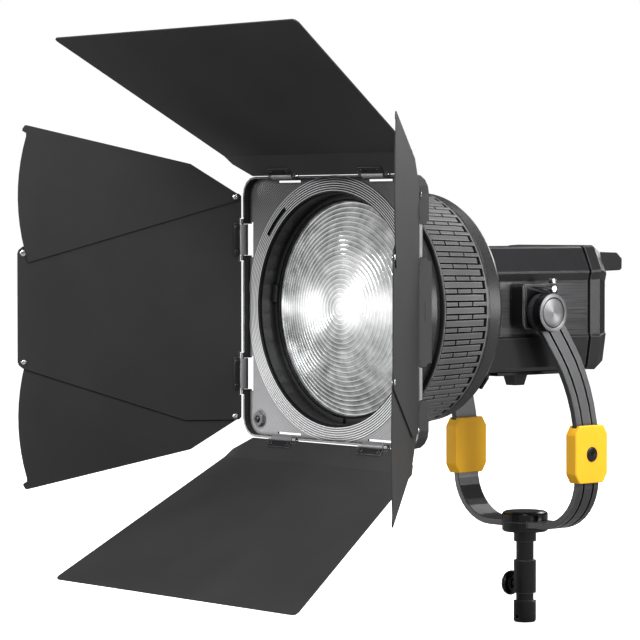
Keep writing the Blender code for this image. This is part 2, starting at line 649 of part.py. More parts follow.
def fresnel_barrel():
    front, step = 0.0032, RING_Y[0] - 0.0005
    under, end = 0.1330, COLLAR_Y[0] - GAP
    lip, flange = RING_Y[1] + 0.0005, 0.1385
    wide, narrow = BARREL_BORE
    ledge = CARRIER_Y[0] - 0.0025
    profile = [(wide, front), (BARREL_R, front), (BARREL_R, step), (under, step), (under, lip), (flange, lip),
               (flange, end), (narrow, end), (narrow, ledge), (wide, ledge)]
    barrel = finish("fresnel_barrel", lathe(profile, at(0, 0, 0), (0, 1, 0), 48), BODY_PAINT, "lamp")
    slots = []
    for k in range(3):
        slot = block((-0.0027, CAM_PIN_Y - 0.0030, 0.120), (0.0027, CAM_PIN_Y + LENS_TRAVEL + 0.0030, 0.140))
        slots.append(turned(slot, 2 * math.pi * k / 3, at(0, 0, 0)))
    cut(barrel, finish("cut_cam_slots", merged(slots), BODY_PAINT, "lamp"))
    clips = []
    for k in range(4):
        clip = block((-0.0105, ledge - 0.0030, narrow - 0.0003), (0.0105, ledge + 0.0002, wide + 0.0006))
        clips.append(turned(clip, CLIP_TURN + math.pi / 2 * k, at(0, 0, 0)))
    join(barrel, finish("add_lens_clips", merged(clips), BODY_PAINT, "lamp"))


def focus_ring():
    front, back = RING_Y
    inside, cavity = 0.1335, 0.1372
    profile = [(inside, front), (RING_R[0] - 0.0012, front), (RING_R[0], front + 0.0015),
               (RING_R[1], back - 0.0010), (RING_R[1] - 0.0010, back), (inside, back),
               (inside, back - 0.003), (cavity, back - 0.003), (cavity, front + 0.003),
               (inside, front + 0.003)]
    finish("focus_ring", lathe(profile, at(0, 0, 0), (0, 1, 0), 48), RUBBER, "focus_ring")


def lens_group():
    """Carrier, lens and retaining ring, which slide together inside the barrel."""
    front, back = CARRIER_Y
    outside, seat = 0.1284, 0.1274
    profile = [(seat, front), (outside, front), (outside, back), (0.1252, back), (0.1250, front + 0.0062),
               (seat, front + 0.0062)]
    carrier = finish("lens_carrier", lathe(profile, at(0, 0, 0), (0, 1, 0), 40), BLACK, "lens")
    pins = []
    for k in range(3):
        turn = Matrix.Rotation(2 * math.pi * k / 3, 3, "Y")
        pins.append(rod(0.0021, at(0, 0, 0) + turn @ Vector((0, CAM_PIN_Y, 0.1265)),
                        at(0, 0, 0) + turn @ Vector((0, CAM_PIN_Y, 0.1362)), 10))
    join(carrier, finish("add_cam_pins", merged(pins), BLACK, "lens"))
    rim_front, rim_back, apex = front + 0.0022, front + 0.0058, 0.0085
    dome_r, thick = 0.1245, 0.0035
    rings = 4
    dome = []
    for k in range(rings + 1):
        radius = dome_r * k / rings
        dome.append((radius, rim_front + (apex - rim_front) * (1 - (radius / dome_r) ** 2)))
    rear = [(radius, y + thick) for radius, y in dome]
    profile = dome + [(LENS_R, rim_front), (LENS_R, rim_back)] + rear[::-1]
    finish("fresnel_lens", lathe(profile, at(0, 0, 0), (0, 1, 0), 40), GLASS, "lens")
    ring = tube(outside, 0.1264, at(0, front - 0.0018, 0), at(0, front - GAP, 0), 40)
    finish("lens_retainer", ring, BLACK, "lens")


# ---------------------------------------------------------------- barndoors
def side_axes(side):
    """Outward and along-the-hinge directions of one side of the frame."""
    turn = {"right": 0, "top": 1, "left": 2, "bottom": 3}[side] * math.pi / 2
    out = Vector((math.cos(turn), 0, math.sin(turn)))
    return out, Vector((-math.sin(turn), 0, math.cos(turn)))


def hinge_rods(side, radius, span, steps):
    """One rod on each of a side's hinges. span lists (start, end) from the hinge's middle."""
    out, along = side_axes(side)
    rods = []
    for middle in (-HINGE_SPACING, HINGE_SPACING):
        for start, end in span:
            base = at(0, HINGE_Y, 0) + out * HINGE_OUT
            rods.append(rod(radius, base + along * (middle + start), base + along * (middle + end), steps))
    return rods


SIDES = ("right", "top", "left", "bottom")


def oriented_box(side, out_range, y_range, along_range):
    out, along = side_axes(side)
    mesh = bmesh.new()
    bmesh.ops.create_cube(mesh, size=1)
    for vert in mesh.verts:
        a, b, c = vert.co
        vert.co = (at(0, y_range[0] + (b + 0.5) * (y_range[1] - y_range[0]), 0)
                   + out * (out_range[0] + (a + 0.5) * (out_range[1] - out_range[0]))
                   + along * (along_range[0] + (c + 0.5) * (along_range[1] - along_range[0])))
    return mesh


def door_frame():
    """Square tray: a plate with a round opening, walls round it, slots and hinge knuckles."""
    front, back, plate = -0.0090, 0.0060, 0.0025
    wall = 0.0025
    frame = prism(rounded_square(FRAME_HALF, FRAME_CORNER_R), facing, (front, back))
    frame = finish("door_frame", frame, MACHINED, "door_frame")
    pocket_square = rounded_square(FRAME_HALF - wall, FRAME_CORNER_R - wall)
    pockets = [prism(pocket_square, facing, (front - 0.01, 0)),
               prism(pocket_square, facing, (plate, back + 0.01))]
    cut(frame, finish("cut_pockets", merged(pockets), MACHINED, "door_frame"))
    deep, recesses = [], []
    for side in ("right", "left"):
        deep.append(oriented_box(side, (FRAME_HALF - wall + 0.0001, FRAME_HALF - 0.0001),
                                 (back - 0.001, 0.0105), (-DEEP_HALF, DEEP_HALF)))
        for middle in (-HINGE_SPACING, HINGE_SPACING):
            room = (middle - SLOT_HALF - 0.0015, middle + SLOT_HALF + 0.0015)
            recesses.append(oriented_box(side, (0.1475, FRAME_HALF + 0.001),
                                         (plate + 0.0002, back + 0.01), room))
    opening = rod(OPENING_R, at(0, -0.02, 0), at(0, 0.03, 0), 48)
    cut(frame, finish("cut_opening", opening, MACHINED, "door_frame"))
    collar = tube(OPENING_R + 0.0050, OPENING_R + 0.0010, at(0, plate - 0.001, 0), at(0, 0.0110, 0), 48)
    join(frame, finish("add_deep_walls", merged(deep), MACHINED, "door_frame"))
    join(frame, finish("add_collar", collar, MACHINED, "door_frame"))
    slots, notches, knuckles, bores = [], [], [], []
    half = HINGE_LENGTH / 2
    for side in SIDES:
        for middle in (-HINGE_SPACING, HINGE_SPACING):
            upright = side in ("right", "left")
            slot_out = (0.1475, FRAME_HALF - wall - 0.0003) if upright else (0.1485, 0.1510)
            slot_along = (middle - SLOT_HALF, middle + SLOT_HALF)
            slots.append(oriented_box(side, slot_out, (-0.001, plate + 0.001), slot_along))
            notch_y = (front - 0.005, plate + 0.001 if upright else -0.0055)
            notch_along = (middle - LEAF_KNUCKLE - 0.0005, middle + LEAF_KNUCKLE + 0.0005)
            notch_out = (FRAME_HALF - wall - 0.001, FRAME_HALF + 0.001)
            notches.append(oriented_box(side, notch_out, notch_y, notch_along))
        span = ((-half, -LEAF_KNUCKLE - 0.0005), (LEAF_KNUCKLE + 0.0005, half))
        knuckles += hinge_rods(side, KNUCKLE_R, span, 6)
        bores += hinge_rods(side, HINGE_PIN_R + GAP, ((-half - 0.002, half + 0.002),), 6)
    cut(frame, finish("cut_slots", merged(slots), MACHINED, "door_frame"))
    cut(frame, finish("cut_recesses", merged(recesses), MACHINED, "door_frame"))
    join(frame, finish("add_knuckles", merged(knuckles), MACHINED, "door_frame"))
    cut(frame, finish("cut_notches", merged(notches), MACHINED, "door_frame"))
    cut(frame, finish("cut_bores", merged(bores), MACHINED, "door_frame"))


def hinge_pins():
    half = HINGE_LENGTH / 2
    for side in SIDES:
        for tag, pin in zip("ab", hinge_rods(side, HINGE_PIN_R, ((-half + 0.0002, half - 0.0002),), 8)):
            finish("hinge_pin_%s_%s" % (side, tag), pin, STEEL, "door_frame")


def leaf_axes(side, degrees):
    """Hinge point, direction along the leaf, direction across it, and its face towards the beam."""
    out, along = side_axes(side)
    lean = math.radians(degrees)
    forward = Vector((0, -1, 0))
    direction = out * math.cos(lean) + forward * math.sin(lean)
    inward = -out * math.sin(lean) + forward * math.cos(lean)
    return at(0, HINGE_Y, 0) + out * HINGE_OUT, direction, along, inward


def leaf_knuckles(name, side, degrees, owner):
    """Knuckles in the middle of each hinge, with the tabs that tie them to the sheet."""
    knuckles = hinge_rods(side, KNUCKLE_R, ((-LEAF_KNUCKLE, LEAF_KNUCKLE),), 8)
    base, direction, along, inward = leaf_axes(side, degrees)
    for middle, knuckle in zip((-HINGE_SPACING, HINGE_SPACING), knuckles):
        tab = prism([(0.0018, -0.0007), (0.0100, -0.0007), (0.0100, 0.0009), (0.0018, 0.0009)],
                    lambda u, v, w: base + direction * u + inward * v + along * w,
                    (middle - LEAF_KNUCKLE + 0.0002, middle + LEAF_KNUCKLE - 0.0002))
        yield finish("%s_tab_%d" % (name, middle > 0), tab, LEAF_PAINT, owner)
        yield finish("%s_knuckle_%d" % (name, middle > 0), knuckle, LEAF_PAINT, owner)


def root_notches(side, degrees):
    """Room at the root of a leaf for the frame's knuckles."""
    base, direction, along, inward = leaf_axes(side, degrees)
    half = HINGE_LENGTH / 2 + 0.0008
    outline = [(0.0005, -0.004), (NOTCH_DEPTH, -0.004), (NOTCH_DEPTH, 0.004), (0.0005, 0.004)]
    return [prism(outline, lambda u, v, w: base + direction * u + inward * v + along * w,
                  (middle - half, middle + half)) for middle in (-HINGE_SPACING, HINGE_SPACING)]


def add_hinge(leaf, side, degrees, owner):
    cut(leaf, finish("cut_notches_" + leaf.name, merged(root_notches(side, degrees)), LEAF_PAINT, owner))
    join(leaf, *leaf_knuckles("add_" + leaf.name, side, degrees, owner))
    half = HINGE_LENGTH / 2
    bores = hinge_rods(side, HINGE_PIN_R + GAP, ((-half, half),), 6)
    cut(leaf, finish("cut_" + leaf.name, merged(bores), LEAF_PAINT, owner))


def bent_leaf(side):
    """Top and bottom leaves: a short flange, a bend, and a panel that widens to its tip."""
    owner = "leaf_" + side
    base, flange_dir, along, flange_in = leaf_axes(side, TOP_ANGLE_FLANGE)
    _, panel_dir, _, panel_in = leaf_axes(side, TOP_ANGLE)
    bend = base + flange_dir * TOP_BEND
    tip = TOP_LENGTH - TOP_BEND
    shoulder = TOP_BEND * 0.62
    flange = [(ROOT_GAP, TOP_HALF_ROOT), (shoulder, TOP_HALF_BEND - 0.0065), (TOP_BEND, TOP_HALF_BEND)]
    corner = 0.006
    panel = [(tip - corner, TOP_HALF_TIP - corner * 0.2), (tip - corner * 0.3, TOP_HALF_TIP - corner * 0.4),
             (tip, TOP_HALF_TIP - corner)]
    bisector = ((flange_in + panel_in) / 2).normalized()
    stretch = 1 / bisector.dot(panel_in)
    half = SHEET / 2
    mesh = bmesh.new()
    layers = []
    for offset in (-half, half):
        layer = []
        for u, x in flange[:-1]:
            layer.append((base + flange_dir * u + flange_in * offset, x))
        layer.append((bend + bisector * offset * stretch, TOP_HALF_BEND))
        for u, x in panel:
            layer.append((bend + panel_dir * u + panel_in * offset, x))
        layers.append([[mesh.verts.new(point + along * x * s) for point, x in layer] for s in (-1, 1)])
    (low_a, low_b), (high_a, high_b) = layers
    count = len(low_a)
    for k in range(count - 1):
        mesh.faces.new([low_a[k], low_a[k + 1], low_b[k + 1], low_b[k]])
        mesh.faces.new([high_a[k], high_b[k], high_b[k + 1], high_a[k + 1]])
        mesh.faces.new([low_a[k], high_a[k], high_a[k + 1], low_a[k + 1]])
        mesh.faces.new([low_b[k], low_b[k + 1], high_b[k + 1], high_b[k]])
    mesh.faces.new([low_a[0], low_b[0], high_b[0], high_a[0]])
    mesh.faces.new([low_a[-1], high_a[-1], high_b[-1], low_b[-1]])
    leaf = finish("leaf_" + side, mesh, LEAF_PAINT, owner, smooth=0)
    add_hinge(leaf, side, TOP_ANGLE_FLANGE, owner)


def side_leaf(side):
    owner = "leaf_" + side
    degrees = SIDE_ANGLE[side]
    base, direction, along, inward = leaf_axes(side, degrees)

    def place(u, v, w):
        return base + direction * u + along * v + inward * w

    corner = 0.006
    upper = [(ROOT_GAP, SIDE_HALF_ROOT - 0.003), (ROOT_GAP + 0.003, SIDE_HALF_ROOT),
             (SIDE_TAPER_FROM, SIDE_HALF_ROOT),
             (SIDE_LENGTH - corner, SIDE_HALF_TIP + corner * 0.33),
             (SIDE_LENGTH - corner * 0.25, SIDE_HALF_TIP - corner * 0.3),
             (SIDE_LENGTH, SIDE_HALF_TIP - corner)]
    outline = upper + [(u, -v) for u, v in reversed(upper)]
    leaf = finish("leaf_" + side, prism(outline, place, (-SHEET / 2, SHEET / 2)), LEAF_PAINT, owner, smooth=0)
    add_hinge(leaf, side, degrees, owner)
    for end in (1, -1):
        face = wing_face(end)
        pivot_u, pivot_v = WING_PIVOT
        foot = place(pivot_u, end * pivot_v, 0)
        top = foot + inward * face * (SHEET / 2 + 0.0003 * 2 + WING_SHEET)
        height = (top - foot).length
        profile = [(0, -0.0003), (STUD_R, -0.0003), (STUD_R, height), (0.0045, height),
                   (0.0045, height + 0.001), (0, height + 0.001)]
        stud = lathe(profile, foot, inward * face, 14)
        join(leaf, finish("add_stud_%s_%d" % (side, end > 0), stud, STEEL, owner))


def wing_face(end):
    """+1 when a wing lies on its leaf's beam side. end is +1 along the hinge direction."""
    return -end


def wing_outline():
    """A wing that spreads from its pivot: kinked outer edge, hooked tip, arc about the pivot."""
    outline = arc(WING_PIVOT, 0.0048, 250, 125, 6)
    outline += [(0.0635, 0.1715), (0.2580, 0.2165), (0.2612, 0.2168), (0.2640, 0.2130), (0.2645, 0.2100),
                (0.2600, 0.2075)]
    outline += arc(WING_PIVOT, WING_R, 16.0, -17.5, 10)
    return outline


def wing(side, end):
    name = "wing_%s_%s" % (side, "upper" if wing_is_upper(side, end) else "lower")
    degrees = SIDE_ANGLE[side]
    base, direction, along, inward = leaf_axes(side, degrees)
    face = wing_face(end)

    def place(u, v, w):
        return base + direction * u + along * (v * end) + inward * (w * face)

    near = SHEET / 2 + GAP
    sheet = prism(wing_outline(), place, (near, near + WING_SHEET))
    sheet = finish(name, sheet, LEAF_PAINT, name, smooth=0)
    hole = rod(STUD_R + GAP, place(*WING_PIVOT, 0), place(*WING_PIVOT, 0.01), 14)
    cut(sheet, finish("cut_" + name, hole, LEAF_PAINT, name))


def wing_is_upper(side, end):
    _, along = side_axes(side)
    return along.z * end > 0


# ---------------------------------------------------------------- assembly
def make_bodies():
    optic = at(0, 0, 0)
    body("stand", (0, 0, 0))
    body("tilt_lever", (-0.115, TILT.y, TILT.z), "stand")
    body("lock_screw", (0, 0, SCREW_Z), "stand")
    body("lock_knob", (-PIN_R, 0, SCREW_Z), "lock_screw")
    body("lamp", TILT, "stand")
    body("release_pin_right", at(0.0995, *RELEASE_PIN), "lamp")
    body("release_pin_left", at(-0.0995, *RELEASE_PIN), "lamp")
    body("socket_ring", at(0, COVER_Y[2], -0.0640), "lamp")
    body("fan", at(0, 0.2760, -0.003), "lamp")
    body("mount_latch", at(0.0990, COLLAR_Y[1], -0.0860), "lamp")
    body("focus_ring", optic, "lamp")
    body("lens", optic, "lamp")
    body("door_frame", optic, "lamp")
    for side in SIDES:
        base, _, _, _ = leaf_axes(side, 0)
        body("leaf_" + side, base, "door_frame")
    for side in ("left", "right"):
        base, direction, along, _ = leaf_axes(side, SIDE_ANGLE[side])
        for end in (1, -1):
            name = "wing_%s_%s" % (side, "upper" if wing_is_upper(side, end) else "lower")
            body(name, base + direction * WING_PIVOT[0] + along * (end * WING_PIVOT[1]), "leaf_" + side)


make_bodies()
stand_pin()
hub()
lock_screw()
yoke_bow()
for hand in ("right", "left"):
    yoke_arm(hand)
    joint_block(hand)
    block_bolt(hand)
    side_bracket(hand)
tilt_pivots()
lamp_housing()
section_tube("gasket", RUBBER, (BODY_Y[1] + GAP, COVER_Y[0] - GAP), 0.985)
rear_cover()
rear_handle()
cable_socket()
underside()
internals()
front_collar()
mount_latch()
fresnel_barrel()
focus_ring()
lens_group()
door_frame()
hinge_pins()
bent_leaf("top")
bent_leaf("bottom")
for hand in ("left", "right"):
    side_leaf(hand)
    wing(hand, 1)
    wing(hand, -1)
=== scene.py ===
"""Looks of the fresnel spotlight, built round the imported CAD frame. Metres, +Z up.

The light points along -Y. Small pieces are placed from the frame's joints and boxes, and each
one rides on the CAD body that carries it.
"""
import json
import math

import bmesh
import bpy
from mathutils import Matrix, Vector


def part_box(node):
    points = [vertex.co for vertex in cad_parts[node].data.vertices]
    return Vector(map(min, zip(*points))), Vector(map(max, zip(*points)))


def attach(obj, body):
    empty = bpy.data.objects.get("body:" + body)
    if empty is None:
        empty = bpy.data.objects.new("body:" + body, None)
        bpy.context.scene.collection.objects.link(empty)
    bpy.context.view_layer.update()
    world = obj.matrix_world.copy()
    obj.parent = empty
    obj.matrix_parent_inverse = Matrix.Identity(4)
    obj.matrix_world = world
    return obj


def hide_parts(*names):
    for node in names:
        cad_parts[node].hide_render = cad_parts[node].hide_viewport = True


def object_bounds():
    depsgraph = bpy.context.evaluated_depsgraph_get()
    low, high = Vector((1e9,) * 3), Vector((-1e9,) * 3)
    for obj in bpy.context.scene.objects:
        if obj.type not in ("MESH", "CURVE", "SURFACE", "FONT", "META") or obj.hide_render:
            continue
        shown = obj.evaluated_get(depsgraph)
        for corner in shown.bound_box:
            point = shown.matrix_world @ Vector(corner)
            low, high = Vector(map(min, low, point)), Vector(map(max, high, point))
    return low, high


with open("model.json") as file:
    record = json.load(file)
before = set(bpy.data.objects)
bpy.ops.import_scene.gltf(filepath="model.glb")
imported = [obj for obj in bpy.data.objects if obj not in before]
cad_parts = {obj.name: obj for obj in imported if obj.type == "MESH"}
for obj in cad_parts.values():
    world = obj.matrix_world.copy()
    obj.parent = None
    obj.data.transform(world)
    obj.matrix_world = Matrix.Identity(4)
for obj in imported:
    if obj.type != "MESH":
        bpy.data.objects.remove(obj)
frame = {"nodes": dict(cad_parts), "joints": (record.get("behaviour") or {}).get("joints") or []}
cad_low, cad_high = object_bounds()
NODES = frame["nodes"]
JOINTS = {joint["name"]: joint for joint in frame["joints"]}
PLATE = Vector(JOINTS["doors_turn"]["pos_m"])        # middle of the barndoor plate's front
TILT = Vector(JOINTS["tilt"]["pos_m"])
FORWARD = Vector((0, -1, 0))
OPENING_R = 0.137                                     # round opening in the plate
FIRST_RING, RING_PITCH = 0.1376, 0.0027               # turned rings round it
SIDES = {"right": 0, "top": 1, "left": 2, "bottom": 3}
HINGE_SPACING = 0.0806                                # each hinge from the middle of its side
LENS_R, LENS_STEPS = 0.127, 20                        # ten-inch lens and its ring steps
FIRST_STEP, DOME_R = 0.013, 0.1248                    # where the steps start and end
LEAF_ANGLE = {"top": 38.0, "bottom": 38.0, "left": 58.7, "right": 48.4}   # degrees from straight out
SHEET = 0.00075                                       # half the thickness of a leaf
PANEL_FACE, BRACKET_FACE = 0.0770, 0.0995             # side faces, from the middle of the head


# ---------------------------------------------------------------- materials
def shader_nodes(name):
    """A new material with its node tree and its Principled shader."""
    made = bpy.data.materials.new(name)
    made.use_nodes = True
    return made, made.node_tree, made.node_tree.nodes["Principled BSDF"]


def add_node(tree, kind, inputs=None, **settings):
    """A shader node. inputs maps a socket's name or number to a value or to an output socket."""
    made = tree.nodes.new("ShaderNode" + kind)
    for key, value in settings.items():
        setattr(made, key, value)
    for key, value in (inputs or {}).items():
        if isinstance(value, bpy.types.NodeSocket):
            tree.links.new(value, made.inputs[key])
        else:
            made.inputs[key].default_value = value
    return made


def maths(tree, operation, *values):
    """Output of a maths node."""
    return add_node(tree, "Math", dict(enumerate(values)), operation=operation).outputs[0]


def noise(tree, scale, stretch=(1, 1, 1), detail=3.0):
    """Noise in object space, in metres, stretched along the axes with small stretch values."""
    place = add_node(tree, "TexCoord").outputs["Object"]
    mapped = add_node(tree, "Mapping", {"Vector": place, "Scale": stretch}).outputs[0]
    return add_node(tree, "TexNoise", {"Vector": mapped, "Scale": scale, "Detail": detail}).outputs["Fac"]


def remap(tree, value, low, high):
    """Spread the middle of a noise's range over low to high."""
    return add_node(tree, "MapRange", {0: value, 1: 0.3, 2: 0.7, 3: low, 4: high}).outputs[0]


def shaded(colour, factor):
    """A colour made lighter or darker, with alpha."""
    return tuple(min(1.0, channel * factor) for channel in colour) + (1,)


def mixed(tree, share, first, second):
    """The first colour where share is 0 and the second where it is 1."""
    return add_node(tree, "Mix", {0: share, 6: first, 7: second}, data_type="RGBA").outputs[2]


def vector_maths(tree, operation, *values):
    """A vector maths node."""
    return add_node(tree, "VectorMath", dict(enumerate(values)), operation=operation)


def painted_crevice_shade(tree, base, colour):
    """Painted shade: darken a colour where another surface comes close."""
    reach = 0.005
    open_share = add_node(tree, "AmbientOcclusion", {"Distance": reach}, samples=6).outputs["AO"]
    clear = maths(tree, "POWER", open_share, 1.6)
    return mixed(tree, clear, shaded(colour, 0.12), base)


def finish_of(name, colour, rough, metal=0.0, grain=900, bump=0.12, mottle=0.18, stretch=(1, 1, 1),
              speck=0.0, rough_range=0.1, edge_highlight=0.0, gloss=0.3):
    """A surface with fine grain in its bump, uneven colour and roughness, painted highlights on its edges and
    painted shade in its crevices.
    """
    made, tree, shader = shader_nodes(name)
    fine = noise(tree, grain, stretch)
    broad = noise(tree, 14, (1, 1, 1), 4.0)
    uneven = remap(tree, broad, 0, 1)
    base = mixed(tree, uneven, shaded(colour, 1 - mottle), shaded(colour, 1 + mottle))
    if speck:
        spots = remap(tree, fine, 0, speck)
        base = mixed(tree, spots, base, shaded(colour, 2.6))
    # Painted highlight: edges are lightened in the colour, as if they caught the light.
    if edge_highlight:
        edge_radius = 0.0012
        edge = add_node(tree, "Bevel", {"Radius": edge_radius}, samples=4).outputs[0]
        flat = add_node(tree, "NewGeometry").outputs["Normal"]
        along = vector_maths(tree, "DOT_PRODUCT", edge, flat).outputs["Value"]
        edge_share = maths(tree, "MULTIPLY", maths(tree, "SUBTRACT", 1.0, along), remap(tree, broad, 2.0, 9.0))
        highlight_share = maths(tree, "MINIMUM", maths(tree, "MULTIPLY", edge_share, edge_highlight), 1.0)
        base = mixed(tree, highlight_share, base, shaded([0.25 + channel for channel in colour], 1.2))
    # Painted shade: darker where other surfaces come close.
    base = painted_crevice_shade(tree, base, colour)
    tree.links.new(base, shader.inputs["Base Color"])
    tree.links.new(remap(tree, fine, rough - rough_range, rough + rough_range), shader.inputs["Roughness"])
    relief = add_node(tree, "Bump", {"Height": fine, "Strength": bump, "Distance": 0.0004}).outputs[0]
    tree.links.new(relief, shader.inputs["Normal"])
    shader.inputs["Metallic"].default_value = metal
    shader.inputs["Specular IOR Level"].default_value = gloss
    return made


def radius_about_axis(tree, centre):
    """Distance and offset from the line through centre along Y, as shader values."""
    place = add_node(tree, "TexCoord").outputs["Object"]
    offset = vector_maths(tree, "SUBTRACT", place, (centre.x, 0, centre.z)).outputs[0]
    flat = vector_maths(tree, "MULTIPLY", offset, (1, 0, 1)).outputs[0]
    return vector_maths(tree, "LENGTH", flat).outputs["Value"], flat


def machined_plate(name, dark, light, strength):
    """Grey plate turned on a lathe: fine rings round the optical axis with painted reflections, and a painted
    sheen brighter at the lower left.
    """
    made, tree, shader = shader_nodes(name)
    radius, flat = radius_about_axis(tree, PLATE)
    # Painted reflection: the fine rings alternate dark and bright in the colour; the same wave drives the
    # bump.
    turns = maths(tree, "DIVIDE", maths(tree, "SUBTRACT", radius, FIRST_RING), RING_PITCH)
    wave = maths(tree, "COSINE", maths(tree, "MULTIPLY", turns, 2 * math.pi))
    ring = maths(tree, "MULTIPLY_ADD", wave, -0.5, 0.5)
    normal = add_node(tree, "SeparateXYZ", {0: add_node(tree, "TexCoord").outputs["Normal"]}).outputs["Y"]
    front = maths(tree, "GREATER_THAN", maths(tree, "MULTIPLY", normal, -1.0), 0.7)
    split = add_node(tree, "SeparateXYZ", {0: flat})
    # Painted sheen: brighter towards the lower left, with random patches, on front faces only.
    across, upwards, level = -0.9, -2.2, 0.18
    fall = maths(tree, "MULTIPLY", split.outputs["Z"], upwards)
    lean = maths(tree, "MULTIPLY_ADD", split.outputs["X"], across, fall)
    patches = remap(tree, noise(tree, 9), -0.06, 0.06)
    lit = maths(tree, "ADD", maths(tree, "MULTIPLY", ring, strength), patches)
    lit = maths(tree, "MULTIPLY", maths(tree, "ADD", lit, maths(tree, "ADD", lean, level)), front)
    base = mixed(tree, maths(tree, "MAXIMUM", lit, 0.0), (*dark, 1), (*light, 1))
    height = maths(tree, "MULTIPLY", ring, front)
    relief = add_node(tree, "Bump", {"Height": height, "Strength": 0.4, "Distance": 0.0005}).outputs[0]
    # Painted shade in the plate's crevices.
    tree.links.new(painted_crevice_shade(tree, base, dark), shader.inputs["Base Color"])
    tree.links.new(relief, shader.inputs["Normal"])
    shader.inputs["Metallic"].default_value = 0.2
    shader.inputs["Roughness"].default_value = 0.45
    shader.inputs["Specular IOR Level"].default_value = 0.25
    return made


def turned_disc(name, colour):
    """Metal faced on a lathe about the tilt axis, with painted highlights that fan out from its middle."""
    made, tree, shader = shader_nodes(name)
    place = add_node(tree, "TexCoord").outputs["Object"]
    offset = vector_maths(tree, "SUBTRACT", place, tuple(TILT)).outputs[0]
    flat = vector_maths(tree, "MULTIPLY", offset, (0, 1, 1)).outputs[0]
    radius = vector_maths(tree, "LENGTH", flat).outputs["Value"]
    tool_mark = 0.0007
    ring = maths(tree, "SINE", maths(tree, "MULTIPLY", radius, 2 * math.pi / tool_mark))
    split = add_node(tree, "SeparateXYZ", {0: offset})
    turn = maths(tree, "ARCTAN2", split.outputs["Z"], split.outputs["Y"])
    # Painted highlight: bright sectors fan out round the middle.
    fan_highlight = maths(tree, "COSINE", maths(tree, "MULTIPLY_ADD", turn, 2.0, 1.9))
    bright = maths(tree, "POWER", maths(tree, "MULTIPLY_ADD", fan_highlight, 0.5, 0.5), 3.0)
    base = mixed(tree, bright, shaded(colour, 1.5), shaded(colour, 4.0))
    relief = add_node(tree, "Bump", {"Height": ring, "Strength": 0.12, "Distance": 0.0002}).outputs[0]
    tree.links.new(base, shader.inputs["Base Color"])
    tree.links.new(relief, shader.inputs["Normal"])
    shader.inputs["Metallic"].default_value = 0.6
    shader.inputs["Roughness"].default_value = 0.38
    shader.inputs["Anisotropic"].default_value = 0.7
    tangent = add_node(tree, "Tangent", direction_type="RADIAL", axis="X").outputs[0]
    tree.links.new(tangent, shader.inputs["Tangent"])
    return made


def stepped_glass():
    """Pressed glass with painted light: clear steps over emission that paints soft bright zones, as a lit
    reflector behind them would, and bright and dark lines at the steps.
    """
    made, tree, shader = shader_nodes("stepped_glass")
    radius, flat = radius_about_axis(tree, PLATE)
    share = maths(tree, "DIVIDE", radius, LENS_R)
    split = add_node(tree, "SeparateXYZ", {0: flat})

    def glow(x, z, spread_x, spread_z, power):
        """A soft painted bright patch of emission at a place on the lens."""
        dx = maths(tree, "DIVIDE", maths(tree, "SUBTRACT", split.outputs["X"], x), spread_x)
        dz = maths(tree, "DIVIDE", maths(tree, "SUBTRACT", split.outputs["Z"], z), spread_z)
        far = maths(tree, "MULTIPLY_ADD", dx, dx, maths(tree, "MULTIPLY", dz, dz))
        return maths(tree, "MULTIPLY", maths(tree, "EXPONENT", maths(tree, "MULTIPLY", far, -1.0)), power)

    # Painted light: bright patches of emission, as a lit reflector behind the glass would give.
    patches = glow(-0.050, 0.000, 0.030, 0.024, 0.95)
    for patch in (glow(0.014, 0.004, 0.020, 0.022, 0.95), glow(0.072, 0.006, 0.045, 0.022, 0.75),
                  glow(-0.112, 0.000, 0.030, 0.012, 0.45), glow(0.018, 0.048, 0.034, 0.016, 0.32)):
        patches = maths(tree, "ADD", patches, patch)
    streaks = noise(tree, 70, (1, 1, 1), 5.0)
    width = (DOME_R - FIRST_STEP) / LENS_STEPS
    along = maths(tree, "FRACT", maths(tree, "DIVIDE", maths(tree, "SUBTRACT", radius, FIRST_STEP), width))
    # Painted highlight on each step's crest and painted shade line next to its riser.
    crest_highlight = maths(tree, "POWER", along, 7.0)
    riser_shade = maths(tree, "POWER", maths(tree, "SUBTRACT", 1.0, along), 7.0)
    body = maths(tree, "MULTIPLY_ADD", share, -0.05, remap(tree, streaks, 0.15, 0.33))
    line = maths(tree, "SUBTRACT", maths(tree, "MULTIPLY", crest_highlight, 0.46), maths(tree, "MULTIPLY", riser_shade, 0.38))
    shine = maths(tree, "ADD", maths(tree, "MAXIMUM", maths(tree, "ADD", body, line), 0.01), patches)
    # Emission makes the lens glow though it is no lamp: painted light.
    tree.links.new(shine, shader.inputs["Emission Strength"])
    shader.inputs["Emission Color"].default_value = (1.0, 1.0, 1.0, 1)
    base = mixed(tree, remap(tree, streaks, 0, 1), (0.26, 0.27, 0.27, 1), (0.46, 0.47, 0.47, 1))
    tree.links.new(base, shader.inputs["Base Color"])
    ripple = noise(tree, 240)
    relief = add_node(tree, "Bump", {"Height": ripple, "Strength": 0.10, "Distance": 0.0006}).outputs[0]
    tree.links.new(relief, shader.inputs["Normal"])
    shader.inputs["Metallic"].default_value = 0.75
    shader.inputs["Roughness"].default_value = 0.14
    shader.inputs["Coat Weight"].default_value = 0.6
    shader.inputs["Coat Roughness"].default_value = 0.04
    return made


